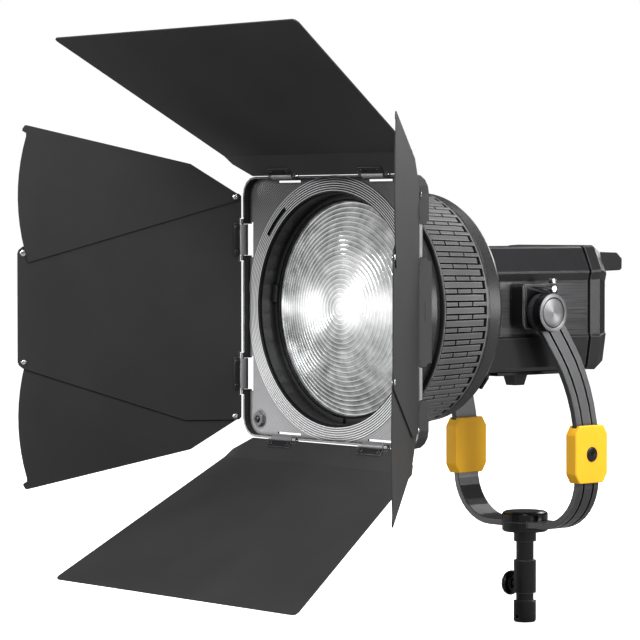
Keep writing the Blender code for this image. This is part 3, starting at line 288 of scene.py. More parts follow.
LEAF = finish_of("leaf_paint", (0.029, 0.029, 0.030), 0.55, grain=1500, bump=0.10, mottle=0.08,
                 rough_range=0.05, gloss=0.15)
PANEL = finish_of("panel_paint", (0.012, 0.012, 0.013), 0.36, grain=1300, bump=0.08, mottle=0.12, edge_highlight=0.35)
DARK = finish_of("dark_paint", (0.006, 0.006, 0.007), 0.45, grain=1300, bump=0.10, mottle=0.12, gloss=0.2)
BRUSHED = finish_of("brushed_panel", (0.060, 0.060, 0.062), 0.36, metal=0.6, grain=260, bump=0.14,
                    mottle=0.30, stretch=(1, 0.05, 3), rough_range=0.10, speck=0.5)
BRACKET = finish_of("bracket_black", (0.008, 0.008, 0.009), 0.34, metal=0.3, grain=500, bump=0.06,
                    stretch=(1, 0.1, 2), edge_highlight=0.9)
COLLAR = finish_of("turned_collar", (0.040, 0.040, 0.041), 0.30, metal=0.4, grain=500, bump=0.03,
                   mottle=0.10, rough_range=0.04)
YOKE = finish_of("yoke_metal", (0.070, 0.070, 0.072), 0.30, metal=0.7, grain=420, bump=0.015, mottle=0.06,
                 stretch=(1, 4, 0.4), edge_highlight=0.25, rough_range=0.03)
YELLOW = finish_of("yellow_paint", (0.80, 0.415, 0.018), 0.46, grain=700, bump=0.05, mottle=0.05,
                   rough_range=0.05, edge_highlight=0.15, gloss=0.12)
GLOSS = finish_of("gloss_black", (0.003, 0.003, 0.004), 0.14, grain=1200, bump=0.02, mottle=0.2,
                  rough_range=0.03, edge_highlight=0.2)
RUBBER = finish_of("rubber", (0.075, 0.075, 0.076), 0.40, grain=1600, bump=0.14, mottle=0.12,
                   speck=0.08, edge_highlight=0.6)
# Near-black rubber: the gasket's own colour, and painted shade on the grip's groove floor and in the curved
# slot.
RUBBER_AND_SHADE = finish_of("black_rubber_and_shade", (0.003, 0.003, 0.003), 0.85, grain=1600, bump=0.1, gloss=0.05)
STEEL = finish_of("bright_steel", (0.72, 0.72, 0.74), 0.24, metal=1.0, grain=600, bump=0.05,
                  stretch=(1, 1, 4))
HINGE = finish_of("hinge_steel", (0.22, 0.22, 0.23), 0.38, metal=0.4, grain=700, bump=0.06)
SCREW = finish_of("black_screw", (0.055, 0.055, 0.057), 0.30, metal=0.5, grain=900, bump=0.06)
PLATE_METAL = machined_plate("machined_plate", (0.028, 0.028, 0.029), (0.52, 0.52, 0.53), 0.18)
RING_METAL = machined_plate("turned_rings", (0.010, 0.010, 0.011), (0.72, 0.72, 0.73), 0.62)
GLASS = stepped_glass()
CAP = turned_disc("turned_cap", (0.085, 0.085, 0.087))
MIRROR = finish_of("mirror_bowl", (0.86, 0.86, 0.88), 0.10, metal=1.0, grain=200, bump=0.06, rough_range=0.04)
ALLOY = finish_of("raw_alloy", (0.52, 0.53, 0.55), 0.38, metal=1.0, grain=500, bump=0.08, stretch=(1, 1, 0.1))
PLASTIC = finish_of("black_plastic", (0.020, 0.020, 0.021), 0.55, grain=1100, bump=0.12)


# ---------------------------------------------------------------- mesh tools
def piece(name, mesh, paint, body, smooth=35):
    """Turn a bmesh in the row's frame into a piece that rides on a CAD body."""
    bmesh.ops.recalc_face_normals(mesh, faces=mesh.faces)
    data = bpy.data.meshes.new(name)
    mesh.to_mesh(data)
    mesh.free()
    data.materials.append(paint)
    data.shade_smooth()
    data.set_sharp_from_angle(angle=math.radians(smooth))
    made = bpy.data.objects.new(name, data)
    bpy.context.scene.collection.objects.link(made)
    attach(made, body)
    return made


def basis(origin, axis, across=None):
    """A matrix whose Z runs along axis and whose X runs roughly along across."""
    axis = Vector(axis).normalized()
    across = Vector(across) if across else axis.orthogonal()
    across = (across - axis * across.dot(axis)).normalized()
    turned = Matrix((across, axis.cross(across), axis)).transposed().to_4x4()
    return Matrix.Translation(Vector(origin)) @ turned


def merged(meshes):
    """One bmesh from several, each with its own outward faces."""
    whole = bmesh.new()
    for mesh in meshes:
        scratch = bpy.data.meshes.new("scratch")
        bmesh.ops.recalc_face_normals(mesh, faces=mesh.faces)
        mesh.to_mesh(scratch)
        mesh.free()
        whole.from_mesh(scratch)
        bpy.data.meshes.remove(scratch)
    return whole


def side_radius(radius, turn, sides):
    """Radius of a regular polygon at an angle, or of a circle when sides is 0."""
    if not sides:
        return radius
    step = 2 * math.pi / sides
    return radius * math.cos(step / 2) / math.cos((turn % step) - step / 2)


def lathe(profile, place, steps=32):
    """Turned solid in the local frame of place. profile holds (radius, height) or (radius, height, sides)."""
    mesh = bmesh.new()
    rings = []
    on_axis = 1e-7
    for point in profile:
        radius, height = point[0], point[1]
        sides = point[2] if len(point) > 2 else 0
        if radius < on_axis:
            rings.append([mesh.verts.new(place @ Vector((0, 0, height)))])
            continue
        ring = []
        for step in range(steps):
            turn = 2 * math.pi * step / steps
            reach = side_radius(radius, turn, sides)
            spot = Vector((reach * math.cos(turn), reach * math.sin(turn), height))
            ring.append(mesh.verts.new(place @ spot))
        rings.append(ring)
    closed = len(rings[0]) > 1
    for index in range(len(rings) if closed else len(rings) - 1):
        a, b = rings[index], rings[(index + 1) % len(rings)]
        for step in range(steps):
            following = (step + 1) % steps
            if len(a) == 1:
                corners = [a[0], b[following], b[step]]
            elif len(b) == 1:
                corners = [a[step], a[following], b[0]]
            else:
                corners = [a[step], a[following], b[following], b[step]]
            mesh.faces.new(corners)
    return mesh


def plaque(outline, place, low, high, edge):
    """A flat plate with softened upper edges. outline is a closed list of (x, y) in the local frame."""
    mesh = bmesh.new()
    bottom = [mesh.verts.new(place @ Vector((x, y, low))) for x, y in outline]
    top = [mesh.verts.new(place @ Vector((x, y, high))) for x, y in outline]
    mesh.faces.new(bottom)
    cover = mesh.faces.new(top)
    count = len(outline)
    for k in range(count):
        mesh.faces.new([bottom[k], bottom[(k + 1) % count], top[(k + 1) % count], top[k]])
    bmesh.ops.recalc_face_normals(mesh, faces=mesh.faces)
    if edge:
        bmesh.ops.bevel(mesh, geom=list(cover.edges), offset=edge, segments=2, affect="EDGES", profile=0.5)
    return mesh


def rounded_box_outline(x_range, y_range, radius, steps=4):
    """Closed list of (x, y) round a box with rounded corners."""
    outline = []
    left, right = x_range
    bottom, top = y_range
    for quarter, (x, y) in enumerate(((right, top), (left, top), (left, bottom), (right, bottom))):
        centre_x = x - radius if x == right else x + radius
        centre_y = y - radius if y == top else y + radius
        for k in range(steps + 1):
            turn = math.radians(90 * quarter + 90 * k / steps)
            outline.append((centre_x + radius * math.cos(turn), centre_y + radius * math.sin(turn)))
    return outline


def screw(place, radius, tall):
    """Button head with a hexagon socket, standing on the local XY plane."""
    hole = radius * 0.5
    profile = [(0, tall * 0.25), (hole * 0.98, tall * 0.25, 6), (hole, tall * 0.98, 6), (hole * 1.12, tall),
               (radius * 0.80, tall * 0.92), (radius * 0.95, tall * 0.65), (radius, tall * 0.3),
               (radius, 0), (0, 0)]
    return lathe(profile, place, 24)


def rivet(place, radius, height):
    """Domed rivet head."""
    profile = [(0, height)]
    cuts = 5
    for k in range(1, cuts):
        turn = math.pi / 2 * k / cuts
        profile.append((radius * math.sin(turn), height * math.cos(turn) ** 0.8))
    profile += [(radius, height * 0.12), (radius, 0), (0, 0)]
    return lathe(profile, place, 24)


def soften(name, paint, width):
    """Give a carried-over CAD node its material and, where width isn't 0, small rounded edges."""
    node = NODES[name]
    for index in range(len(node.data.materials)):
        node.material_slots[index].link = "OBJECT"
        node.material_slots[index].material = paint
    weld = node.modifiers.new("weld", "WELD")
    weld.merge_threshold = 0.00001
    if width:
        flat = node.modifiers.new("flat", "DECIMATE")
        flat.decimate_type = "DISSOLVE"
        flat.angle_limit = math.radians(1.0)
        edge = node.modifiers.new("edge", "BEVEL")
        edge.width = width
        edge.segments = 2
        edge.limit_method = "ANGLE"
        edge.angle_limit = math.radians(28)
        edge.use_clamp_overlap = True
    normal = node.modifiers.new("normal", "WEIGHTED_NORMAL")
    normal.keep_sharp = True


# ---------------------------------------------------------------- carried-over CAD nodes
def dress_frame():
    """Material and edge width of each carried-over node."""
    finishes = {
        "stand_pin": (GLOSS, 0.0005), "hub_base": (GLOSS, 0.0006), "hub_cap": (GLOSS, 0.0006),
        "lock_screw": (STEEL, 0.0003), "tilt_lever": (GLOSS, 0.0006), "yoke_bow": (YOKE, 0.0),
        "lamp_housing": (PANEL, 0.0004), "gasket": (RUBBER_AND_SHADE, 0.0), "rear_cover": (PANEL, 0.0008),
        "rear_handle": (DARK, 0.0012), "cable_socket": (STEEL, 0.0003), "socket_ring": (PLASTIC, 0.0003),
        "bottom_rail": (DARK, 0.0008), "bottom_foot": (PANEL, 0.0006), "reflector": (MIRROR, 0.0),
        "led_module": (ALLOY, 0.0003), "heat_sink": (ALLOY, 0.0), "fan_frame": (PLASTIC, 0.0005),
        "fan_rotor": (PLASTIC, 0.0003), "mount_latch": (DARK, 0.0006), "fresnel_barrel": (COLLAR, 0.0003),
        "lens_carrier": (DARK, 0.0003), "lens_retainer": (DARK, 0.0003), "door_frame": (PLATE_METAL, 0.0),
    }
    for side in ("left", "right"):
        finishes["yoke_arm_" + side] = (YOKE, 0.0)
        finishes["joint_block_" + side] = (YELLOW, 0.0)
        finishes["block_bolt_" + side] = (GLOSS, 0.0004)
        finishes["tilt_pivot_" + side] = (GLOSS, 0.0003)
        finishes["side_bracket_" + side] = (BRACKET, 0.0005)
        finishes["release_pin_" + side] = (STEEL, 0.0003)
        for end in ("upper", "lower"):
            finishes["wing_%s_%s" % (side, end)] = (LEAF, 0.0)
    for side in SIDES:
        finishes["leaf_" + side] = (LEAF, 0.0)
        for tag in "ab":
            finishes["hinge_pin_%s_%s" % (side, tag)] = (STEEL, 0.0)
    for name, (paint, width) in finishes.items():
        soften(name, paint, width)


# ---------------------------------------------------------------- focus ring
def optical_axis():
    """Local frame whose Z runs backwards along the optical axis from the plate's front."""
    return basis(PLATE, (0, 1, 0), (1, 0, 0))


def cone_radius(y, span, radii):
    """Radius of the grip's cone at y."""
    share = (y - span[0]) / (span[1] - span[0])
    return radii[0] + (radii[1] - radii[0]) * share


def ring_bar(mesh, turn, half_turn, y_range, span, radii, depth):
    """One raised bar of the grip: a block that tapers a little towards its top."""
    layers = []
    for inset, drop in ((0.0, depth), (0.0, 0.0004), (0.0004, 0.0)):
        loop = []
        for end, y in ((-1, y_range[0] + inset), (1, y_range[1] - inset)):
            radius = cone_radius(y, span, radii) - drop
            angle = half_turn - inset / radius
            for sign in (-end, end):
                where = turn + sign * angle
                spot = Vector((radius * math.cos(where), y, radius * math.sin(where)))
                loop.append(mesh.verts.new(PLATE + spot))
        layers.append(loop)
    for low, high in zip(layers, layers[1:]):
        for k in range(4):
            mesh.faces.new([low[k], low[(k + 1) % 4], high[(k + 1) % 4], high[k]])
    mesh.faces.new(layers[-1])


def focus_ring():
    """Rubber grip: long bars that stop short of the rear rim, between rows of three short bars."""
    low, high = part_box("focus_ring")
    span = (low.y - PLATE.y, high.y - PLATE.y)
    outer = high.z - PLATE.z
    radii = (outer + 0.0001, 0.1400)
    depth, rim = 0.0019, 0.0030
    inside, cavity, wall = 0.1335, 0.1372, 0.003
    place = optical_axis()
    width = span[1] - span[0]

    def outside(share, drop=0.0):
        y = span[0] + width * share
        return cone_radius(y, span, radii) - drop, y

    front_edge, back_edge = rim / width * 0.5, 1 - rim / width
    profile = [(inside, span[0]), (outside(0, 0.0012)[0], span[0]), outside(0.012), outside(front_edge),
               outside(front_edge, depth), outside(back_edge, depth), outside(back_edge), outside(0.985),
               (outside(1, 0.0010)[0], span[1]), (inside, span[1]), (inside, span[1] - wall),
               (cavity, span[1] - wall), (cavity, span[0] + wall), (inside, span[0] + wall)]
    base = piece("focus_ring_base", lathe(profile, place, 180), RUBBER, "focus_ring")
    # Painted shade: a near-black ring at the floor of the grooves between the bars.
    floor = [outside(front_edge + 0.004, depth - 0.0002), outside(back_edge - 0.004, depth - 0.0002),
             outside(back_edge - 0.004, depth + 0.0003), outside(front_edge + 0.004, depth + 0.0003)]
    piece("focus_ring_groove_shade", lathe(floor, place, 180), RUBBER_AND_SHADE, "focus_ring")
    bars = bmesh.new()
    rows, gap = 60, 0.0018
    pitch = math.pi / rows
    wide, slim = pitch * 0.58 - gap / 2 / outer, pitch * 0.42 - gap / 2 / outer
    start, end = span[0] + width * front_edge + 0.0012, span[0] + width * back_edge - 0.0002
    length = end - start
    for row in range(rows):
        turn = 2 * math.pi * row / rows
        ring_bar(bars, turn, wide, (start, start + length * 0.93), span, radii, depth)
        for first, last in ((0.0, 0.285), (0.315, 0.635), (0.665, 1.0)):
            y_range = (start + length * first, start + length * last)
            ring_bar(bars, turn + pitch, slim, y_range, span, radii, depth)
    piece("focus_ring_bars", bars, RUBBER, "focus_ring")
    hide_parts("focus_ring")


def front_collar():
    """Turned collar between the focus ring and the lamp body."""
    low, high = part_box("front_collar")
    start, end, outer = low.y - PLATE.y, high.y - PLATE.y, high.z - PLATE.z
    hole, inside = 0.0560, 0.1345
    profile = [(hole, end), (hole, end - 0.0050), (0.1290, end - 0.0050), (inside, end - 0.0080),
               (inside, start), (outer - 0.0003, start), (outer, start + 0.0003), (outer, start + 0.0017),
               (outer - 0.0004, start + 0.0021), (outer - 0.0016, start + 0.0032),
               (outer - 0.0019, end - 0.0062), (outer - 0.0024, end - 0.0056),
               (outer - 0.0040, end - 0.0022), (outer - 0.0046, end - 0.0015),
               (0.1308, end - 0.0001), (0.1300, end)]
    turned = lathe(profile, optical_axis(), 180)
    collar = piece("turned_front_collar", turned, COLLAR, "lamp", smooth=30)
    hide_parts("front_collar")


def barrel_sleeve():
    """Smooth outer skin of the barrel between the plate and the focus ring, with two turned grooves."""
    start, end = 0.0118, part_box("focus_ring")[0].y - PLATE.y - 0.0008
    skin_r, inside, groove = 0.1377, 0.1372, 0.0003
    profile = [(inside, start), (skin_r - 0.0002, start), (skin_r, start + 0.0003)]
    for middle in (start + 0.0035, end - 0.0045):
        profile += [(skin_r, middle - 0.0005), (skin_r - groove, middle - 0.0003),
                    (skin_r - groove, middle + 0.0003), (skin_r, middle + 0.0005)]
    profile += [(skin_r, end - 0.0006), (skin_r - 0.0004, end), (inside, end)]
    piece("barrel_sleeve", lathe(profile, optical_axis(), 180), COLLAR, "lamp", smooth=30)


# ---------------------------------------------------------------- lens
def fresnel_lens():
    """Domed glass with concentric steps on its front."""
    low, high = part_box("fresnel_lens")
    apex = low.y - PLATE.y
    rim_front, rim_r, rim_depth = 0.0267, high.z - PLATE.z, 0.0036
    cuts, riser = 4, 0.0004
    thick, back_r, back_cuts = 0.0035, 0.1215, 5

    def dome(radius):
        return apex + (rim_front - apex) * (radius / DOME_R) ** 2

    profile = [(0, apex)]
    for k in range(1, 4):
        radius = FIRST_STEP * k / 3
        profile.append((radius, apex + 0.0007 * (radius / FIRST_STEP) ** 2))
    width = (DOME_R - FIRST_STEP) / LENS_STEPS
    for ring in range(LENS_STEPS):
        inner = FIRST_STEP + width * ring
        start, finish = dome(inner), dome(inner + width)
        fall = 0.0010 + 0.0012 * ring / LENS_STEPS
        for k in range(cuts + 1):
            share = k / cuts
            radius = inner + riser + (width - riser) * share
            profile.append((radius, start + (finish - start) * share + fall * share ** 1.6))
    profile += [(DOME_R + 0.0002, rim_front), (rim_r, rim_front), (rim_r, rim_front + rim_depth)]
    for k in range(back_cuts + 1):
        radius = back_r * (1 - k / back_cuts)
        profile.append((radius, dome(radius) + thick))
    lens = piece("stepped_lens", lathe(profile, optical_axis(), 160), GLASS, "lens", smooth=24)
    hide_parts("fresnel_lens")


# ---------------------------------------------------------------- barndoor plate
def plate_details():
    """Turned rings round the opening, the lip of the opening and the curved slot, drawn as a plaque of
    painted shade.
    """
    place = basis(PLATE, FORWARD, (1, 0, 0))
    rings, height = 7, 0.0008
    profile = [(FIRST_RING, -0.0002)]
    for ring in range(rings):
        inner = FIRST_RING + RING_PITCH * ring
        for share, lift in ((0.04, 0.0001), (0.30, height), (0.70, height), (0.96, 0.0001)):
            profile.append((inner + RING_PITCH * share, lift))
    profile.append((FIRST_RING + RING_PITCH * rings, -0.0002))
    piece("opening_rings", lathe(profile, place, 200), RING_METAL, "door_frame", smooth=20)
    lip = [(OPENING_R - 0.0004, -0.0024), (OPENING_R - 0.0004, 0.0004), (OPENING_R + 0.0001, 0.0010),
           (OPENING_R + 0.0008, 0.0008), (OPENING_R + 0.0010, -0.0001), (OPENING_R + 0.0010, -0.0024)]
    piece("opening_lip", lathe(lip, place, 200), DARK, "door_frame")
    slot_r, slot_half, first_turn, last_turn = 0.1465, 0.0026, 126.5, 144.0
    outline = []
    for radius, order in ((slot_r + slot_half, (0, 1)), (slot_r - slot_half, (1, 0))):
        for k in range(9):
            share = order[0] + (order[1] - order[0]) * k / 8
            turn = math.radians(180 - (first_turn + (last_turn - first_turn) * share))
            outline.append((-radius * math.cos(turn), radius * math.sin(turn)))
    # Painted shade: a near-black plaque on the plate's face stands for the slot's depth.
    slot = plaque(outline, place, 0.0, height + 0.0002, 0)
    piece("curved_slot_shade", slot, RUBBER_AND_SHADE, "door_frame")


def hinge_straps():
    """Dark strips that bridge the open wall behind the knuckles of the side hinges."""
    strips = []
    wall, half_width, half_length = 0.1548, 0.0012, 0.0186
    for sign in (-1, 1):
        for middle in (-HINGE_SPACING, HINGE_SPACING):
            place = basis(PLATE + Vector((sign * wall, 0, middle)), FORWARD, (1, 0, 0))
            outline = rounded_box_outline((-half_width, half_width), (-half_length, half_length), 0.0004, 1)
            strips.append(plaque(outline, place, 0.0030, 0.0058, 0.0003))
    piece("hinge_straps", merged(strips), DARK, "door_frame")


def plate_nut():
    """Hexagon nut on the end of a stud, low on the left of the plate."""
    where = PLATE + Vector((-0.1339, 0, -0.1345))
    place = basis(where, FORWARD, (0, 0, 1))
    washer = lathe([(0, 0), (0.0097, 0), (0.0097, 0.0007), (0.0091, 0.0011), (0, 0.0011)], place, 36)
    nut = lathe([(0, 0.0010), (0.0092, 0.0010, 6), (0.0092, 0.0040, 6), (0.0082, 0.0048), (0.0044, 0.0048),
                 (0.0042, 0.0040), (0, 0.0040)], place, 36)
    stud = lathe([(0, 0.0030), (0.0036, 0.0030), (0.0036, 0.0062), (0.0028, 0.0070), (0, 0.0070)], place, 24)
    piece("plate_nut", merged([washer, nut]), HINGE, "door_frame")
    piece("plate_stud", stud, SCREW, "door_frame")


# ---------------------------------------------------------------- barndoor hinges and rivets
def leaf_frame(side):
    """Local frame of a leaf at its hinge: X along the leaf, Y along the hinge, Z towards the beam."""
    turn = SIDES[side] * math.pi / 2
    out = Vector((math.cos(turn), 0, math.sin(turn)))
    lean = math.radians(LEAF_ANGLE[side])
    direction = out * math.cos(lean) + FORWARD * math.sin(lean)
    inward = -out * math.sin(lean) + FORWARD * math.cos(lean)
    hinge = Vector(JOINTS["leaf_%s_fold" % side]["pos_m"])
    return basis(hinge, inward, direction)


def leaf_hardware(side):
    """Hinge plates with two screws each on the inner face of a leaf, and the hinges' outer sleeves."""
    place = leaf_frame(side)
    upright = side in ("left", "right")
    reach = 0.0112 if upright else 0.0125
    thick = 0.0044 if upright else 0.0036
    near, half = 0.0036, 0.0200
    screw_line, screw_half = 0.0078, 0.0145
    bore, sleeve_half, rounding = 0.0017, 0.0183, 0.0003
    plates, screws, barrels = [], [], []
    for middle in (-HINGE_SPACING, HINGE_SPACING):
        sleeve = [(thick - rounding, -sleeve_half), (thick, rounding - sleeve_half),
                  (thick, sleeve_half - rounding), (thick - rounding, sleeve_half),
                  (bore, sleeve_half), (bore, -sleeve_half)]
        hinge_line = place @ Matrix.Translation((0, middle, 0)) @ Matrix.Rotation(-math.pi / 2, 4, "X")
        barrels.append(lathe(sleeve, hinge_line, 20))
        outline = [(near, middle - half), (reach - 0.001, middle - half), (reach, middle - half + 0.001),
                   (reach, middle + half - 0.001), (reach - 0.001, middle + half), (near, middle + half)]
        plates.append(plaque(outline, place, SHEET - 0.0001, SHEET + 0.0012, 0.0003))
        for sign in (-1, 1):
            strip = sorted((middle + sign * 0.0186, middle + sign * 0.0262))
            outline = [(0.0034, strip[0]), (0.0056, strip[0]), (0.0056, strip[1]), (0.0034, strip[1])]
            plates.append(plaque(outline, place, -SHEET - 0.0002, SHEET + 0.0002, 0))
        for offset in (-screw_half, screw_half):
            head = place @ Matrix.Translation((screw_line, middle + offset, SHEET + 0.0011))
            screws.append(screw(head, 0.0026, 0.0014))
    body = "leaf_" + side
    piece(body + "_hinge_plates", merged(plates), PANEL, body)
    piece(body + "_hinge_barrels", merged(barrels), HINGE, body)
    piece(body + "_hinge_screws", merged(screws), SCREW, body)


def leaf_rivets(side):
    """Bright rivets: the wings' pivots near the hinge and their stops near the tip."""
    place = leaf_frame(side)
    heads = []
    wing_stack = 0.0021
    pivot_along, pivot_half = 0.0095, 0.132
    stop_along, stop_half = 0.2633, 0.065
    for end in (-1, 1):
        for sign in (-1, 1):
            lift = SHEET + (wing_stack if sign == -end else 0.0)
            flip = Matrix.Identity(4) if sign > 0 else Matrix.Rotation(math.pi, 4, "X")
            pivot = Matrix.Translation((pivot_along, end * pivot_half, sign * lift))
            heads.append(rivet(place @ pivot @ flip, 0.0034, 0.0016))
    for end, radius in ((-1, 0.0042 if side == "left" else 0.0032), (1, 0.0032)):
        for flip in (Matrix.Identity(4), Matrix.Rotation(math.pi, 4, "X")):
            middle = Matrix.Translation((stop_along, end * stop_half, 0))
            stop = middle @ flip @ Matrix.Translation((0, 0, SHEET))
            heads.append(rivet(place @ stop, radius, 0.0014))
    body = "leaf_" + side
    piece(body + "_rivets", merged(heads), STEEL, body)


# ---------------------------------------------------------------- lamp body
def body_panels():
    """Brushed side panels between the two ledges of the housing."""
    y_range = (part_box("front_collar")[1].y + 0.0020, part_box("lamp_housing")[1].y - 0.0015)
    for sign, tag, z_range in ((1, "right", (-0.0325, 0.0300)), (-1, "left", (-0.0300, 0.0325))):
        place = basis((sign * PANEL_FACE, 0, PLATE.z), (sign, 0, 0), (0, 1, 0))
        panel = plaque(rounded_box_outline(y_range, z_range, 0.0008, 2), place, -0.0002, 0.0007, 0.0003)
        piece("side_panel_" + tag, panel, BRUSHED, "lamp")


def lamp_screws():
    """Fasteners of the rear cover."""
    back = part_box("rear_cover")[1].y
    heads = []
    for x in (-0.052, 0.052):
        for z in (-0.060, 0.050):
            heads.append(screw(basis((x, back, PLATE.z + z), (0, 1, 0)), 0.0030, 0.0016))
    piece("rear_cover_screws", merged(heads), SCREW, "lamp")


def bracket_details():
    """Face plates on the tilt blocks, cut out round the pin and the pivot, and the release levers."""
    inset, reach, hole_r, boss_r = 0.0022, 0.01, 0.0052, 0.0219
    for sign, tag in ((1, "right"), (-1, "left")):
        low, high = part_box("side_bracket_" + tag)
        pin_low, pin_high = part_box("release_pin_" + tag)
        pin = (pin_low + pin_high) / 2
        outward = (sign, 0, 0)
        place = basis((sign * BRACKET_FACE, 0, 0), outward, (0, sign, 0))
        y_range = (low.y + inset, high.y - inset)
        if sign < 0:
            y_range = (-y_range[1], -y_range[0])
        z_range = (low.z + inset, high.z - inset)
        cover = plaque(rounded_box_outline(y_range, z_range, 0.0035), place, -0.0002, 0.0006, 0.0003)
        cover = piece("bracket_face_" + tag, cover, BRACKET, "lamp")
        cuts = []
        for radius, middle, steps in ((hole_r, pin, 32), (boss_r, TILT, 48)):
            profile = [(0, -reach), (radius, -reach), (radius, reach), (0, reach)]
            cuts.append(lathe(profile, basis((sign * BRACKET_FACE, middle.y, middle.z), outward), steps))
        cutter = piece("cut_face_" + tag, merged(cuts), BRUSHED, "lamp")
        step = cover.modifiers.new("holes", "BOOLEAN")
        step.operation = "DIFFERENCE"
        step.object = cutter
        cutter.hide_render = True
        cutter.hide_viewport = True
        lever_place = basis((sign * (BRACKET_FACE + 0.0001), pin.y, pin.z), outward, (0, sign, 0))
        outline = rounded_box_outline((-0.0036, 0.0036), (0.0060, 0.0128), 0.0020)
        lever = plaque(outline, lever_place, -0.0050, 0.0012, 0.0005)
        piece("release_lever_" + tag, lever, STEEL, "release_pin_" + tag)


# ---------------------------------------------------------------- yoke and stand pin
def pivot_cap():
    """Turned inlay on the right tilt pivot."""
    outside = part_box("tilt_pivot_right")[1].x
    place = basis((outside, TILT.y, TILT.z), (1, 0, 0), (0, 1, 0))
    rim = lathe([(0.0182, -0.0004), (0.0228, -0.0004), (0.0227, 0.0001), (0.0220, 0.0004), (0.0186, 0.0004),
                 (0.0182, 0.0001)], place, 72)
    piece("pivot_cap_rim", rim, CAP, "stand")
    disc = lathe([(0, 0.0001), (0.0100, 0.0002), (0.0165, 0.0004), (0.0170, 0.0001), (0.0170, -0.0006),
                  (0, -0.0006)], place, 72)
    piece("pivot_cap_disc", disc, CAP, "stand")


def lock_knob():
    """Fluted clamp knob with a dished face."""
    low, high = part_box("lock_knob")
    middle = (low + high) / 2
    radius = (high.z - low.z) / 2
    thick = high.x - low.x
    place = basis((high.x, middle.y, middle.z), (-1, 0, 0), (0, 0, 1))
    profile = [(0, 0), (0.0075, 0), (0.0085, 0.0016), (radius - 0.0020, 0.0020), (radius - 0.0006, 0.0028),
               (radius, 0.0036), (radius, thick - 0.0022), (radius - 0.0008, thick - 0.0010),
               (radius - 0.0022, thick), (radius - 0.0048, thick), (radius - 0.0060, thick - 0.0010),
               (0.0040, thick - 0.0012), (0, thick - 0.0012)]
    flutes, flute_depth = 24, 0.0007
    mesh = lathe(profile, place, 4 * flutes)
    inverse = place.inverted()
    for vert in mesh.verts:
        local = inverse @ vert.co
        reach = math.hypot(local.x, local.y)
        if reach > radius - 0.0010:
            flute = 0.5 - 0.5 * math.cos(math.atan2(local.y, local.x) * flutes)
            local.xy *= 1 - flute_depth * flute / reach
            vert.co = place @ local
    knob = piece("fluted_lock_knob", mesh, GLOSS, "lock_knob", smooth=50)
    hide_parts("lock_knob")


# ---------------------------------------------------------------- studio
def softbox(name, place, size, power):
    """Rectangular light panel aimed at the middle of the object."""
    target = (0, -0.15, 0.3)
    data = bpy.data.lights.new(name, "AREA")
    data.shape = "RECTANGLE"
    data.size, data.size_y = size
    data.energy = power
    made = bpy.data.objects.new(name, data)
    bpy.context.scene.collection.objects.link(made)
    made.location = place
    made.rotation_euler = (Vector(target) - Vector(place)).to_track_quat("-Z", "Y").to_euler()
    made.visible_camera = False


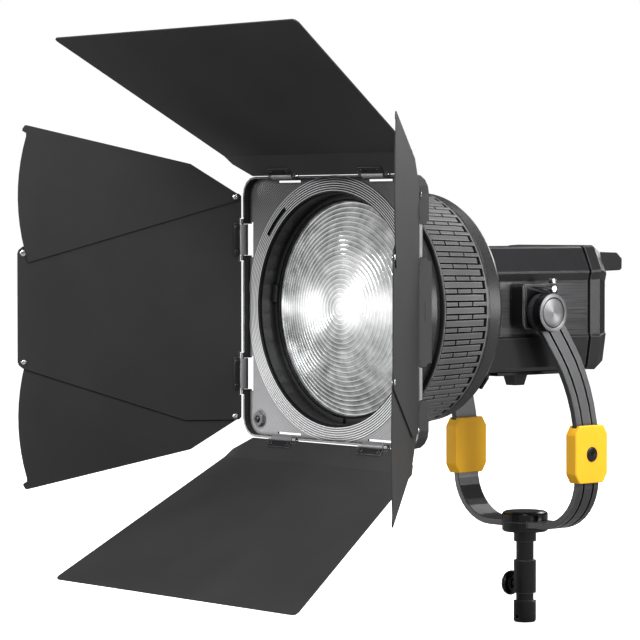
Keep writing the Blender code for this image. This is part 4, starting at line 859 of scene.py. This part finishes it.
def studio():
    """Pale floor, white surroundings for the camera and soft light from large panels."""
    data = bpy.data.meshes.new("floor")
    reach = 14.0
    ground = cad_low.z - 0.0005
    square = ((-reach, -reach), (reach, -reach), (reach, reach), (-reach, reach))
    data.from_pydata([(x, y, ground) for x, y in square], [], [(0, 1, 2, 3)])
    floor = bpy.data.objects.new("floor", data)
    bpy.context.scene.collection.objects.link(floor)
    made, tree, shader = shader_nodes("pale_floor")
    tone = mixed(tree, noise(tree, 3), (0.86, 0.86, 0.86, 1), (0.90, 0.90, 0.90, 1))
    seen = add_node(tree, "LightPath").outputs["Is Camera Ray"]
    tone = mixed(tree, seen, (0.25, 0.25, 0.25, 1), tone)
    tree.links.new(tone, shader.inputs["Base Color"])
    shader.inputs["Roughness"].default_value = 0.9
    shader.inputs["Emission Color"].default_value = (1, 1, 1, 1)
    away = vector_maths(tree, "LENGTH", add_node(tree, "TexCoord").outputs["Object"])
    glow = add_node(tree, "MapRange", {0: away.outputs["Value"], 1: 0.2, 2: 1.5, 3: 0.70, 4: 1.0}).outputs[0]
    tree.links.new(maths(tree, "MULTIPLY", seen, glow), shader.inputs["Emission Strength"])
    data.materials.append(made)
    world = bpy.data.worlds.new("studio")
    world.use_nodes = True
    bpy.context.scene.world = world
    tree = world.node_tree
    path = add_node(tree, "LightPath").outputs["Is Camera Ray"]
    strength = add_node(tree, "MapRange", {0: path, 1: 0.0, 2: 1.0, 3: 0.08, 4: 1.0}).outputs[0]
    sky = tree.nodes["Background"]
    sky.inputs["Color"].default_value = (1, 1, 1, 1)
    tree.links.new(strength, sky.inputs["Strength"])
    softbox("front_high", (1.3, -2.7, 2.4), (1.5, 1.5), 112)
    softbox("front_left", (-1.2, -3.0, 0.9), (0.8, 1.6), 40)
    softbox("right_strip", (3.0, -0.2, 1.3), (0.6, 2.0), 85)
    softbox("left_strip", (-2.4, -1.9, 0.7), (0.4, 2.0), 35)
    softbox("top", (0.9, 0.3, 2.6), (1.6, 1.6), 65)
    softbox("side_sheen", (2.5, 1.9, 0.55), (0.35, 1.1), 26)
    softbox("back_rim", (-0.9, 2.6, 1.5), (0.9, 1.6), 30)
    bpy.context.scene.view_settings.view_transform = "Standard"


def camera():
    """Three-quarter view from the front right, a little above the optical axis."""
    azimuth, elevation, distance = math.radians(48.83), math.radians(1.65), 3.491
    back = Vector((math.sin(azimuth) * math.cos(elevation), -math.cos(azimuth) * math.cos(elevation),
                   math.sin(elevation)))
    data = bpy.data.cameras.new("camera")
    data.sensor_width = 36
    data.lens = 168.24
    data.shift_x, data.shift_y = -0.02175, -0.01677
    made = bpy.data.objects.new("camera", data)
    bpy.context.scene.collection.objects.link(made)
    made.location = PLATE + back * distance
    made.rotation_euler = back.to_track_quat("Z", "Y").to_euler()
    bpy.context.scene.camera = made


dress_frame()
focus_ring()
front_collar()
barrel_sleeve()
fresnel_lens()
plate_details()
hinge_straps()
plate_nut()
for side_name in SIDES:
    leaf_hardware(side_name)
for side_name in ("left", "right"):
    leaf_rivets(side_name)
body_panels()
lamp_screws()
bracket_details()
pivot_cap()
lock_knob()
studio()
camera()
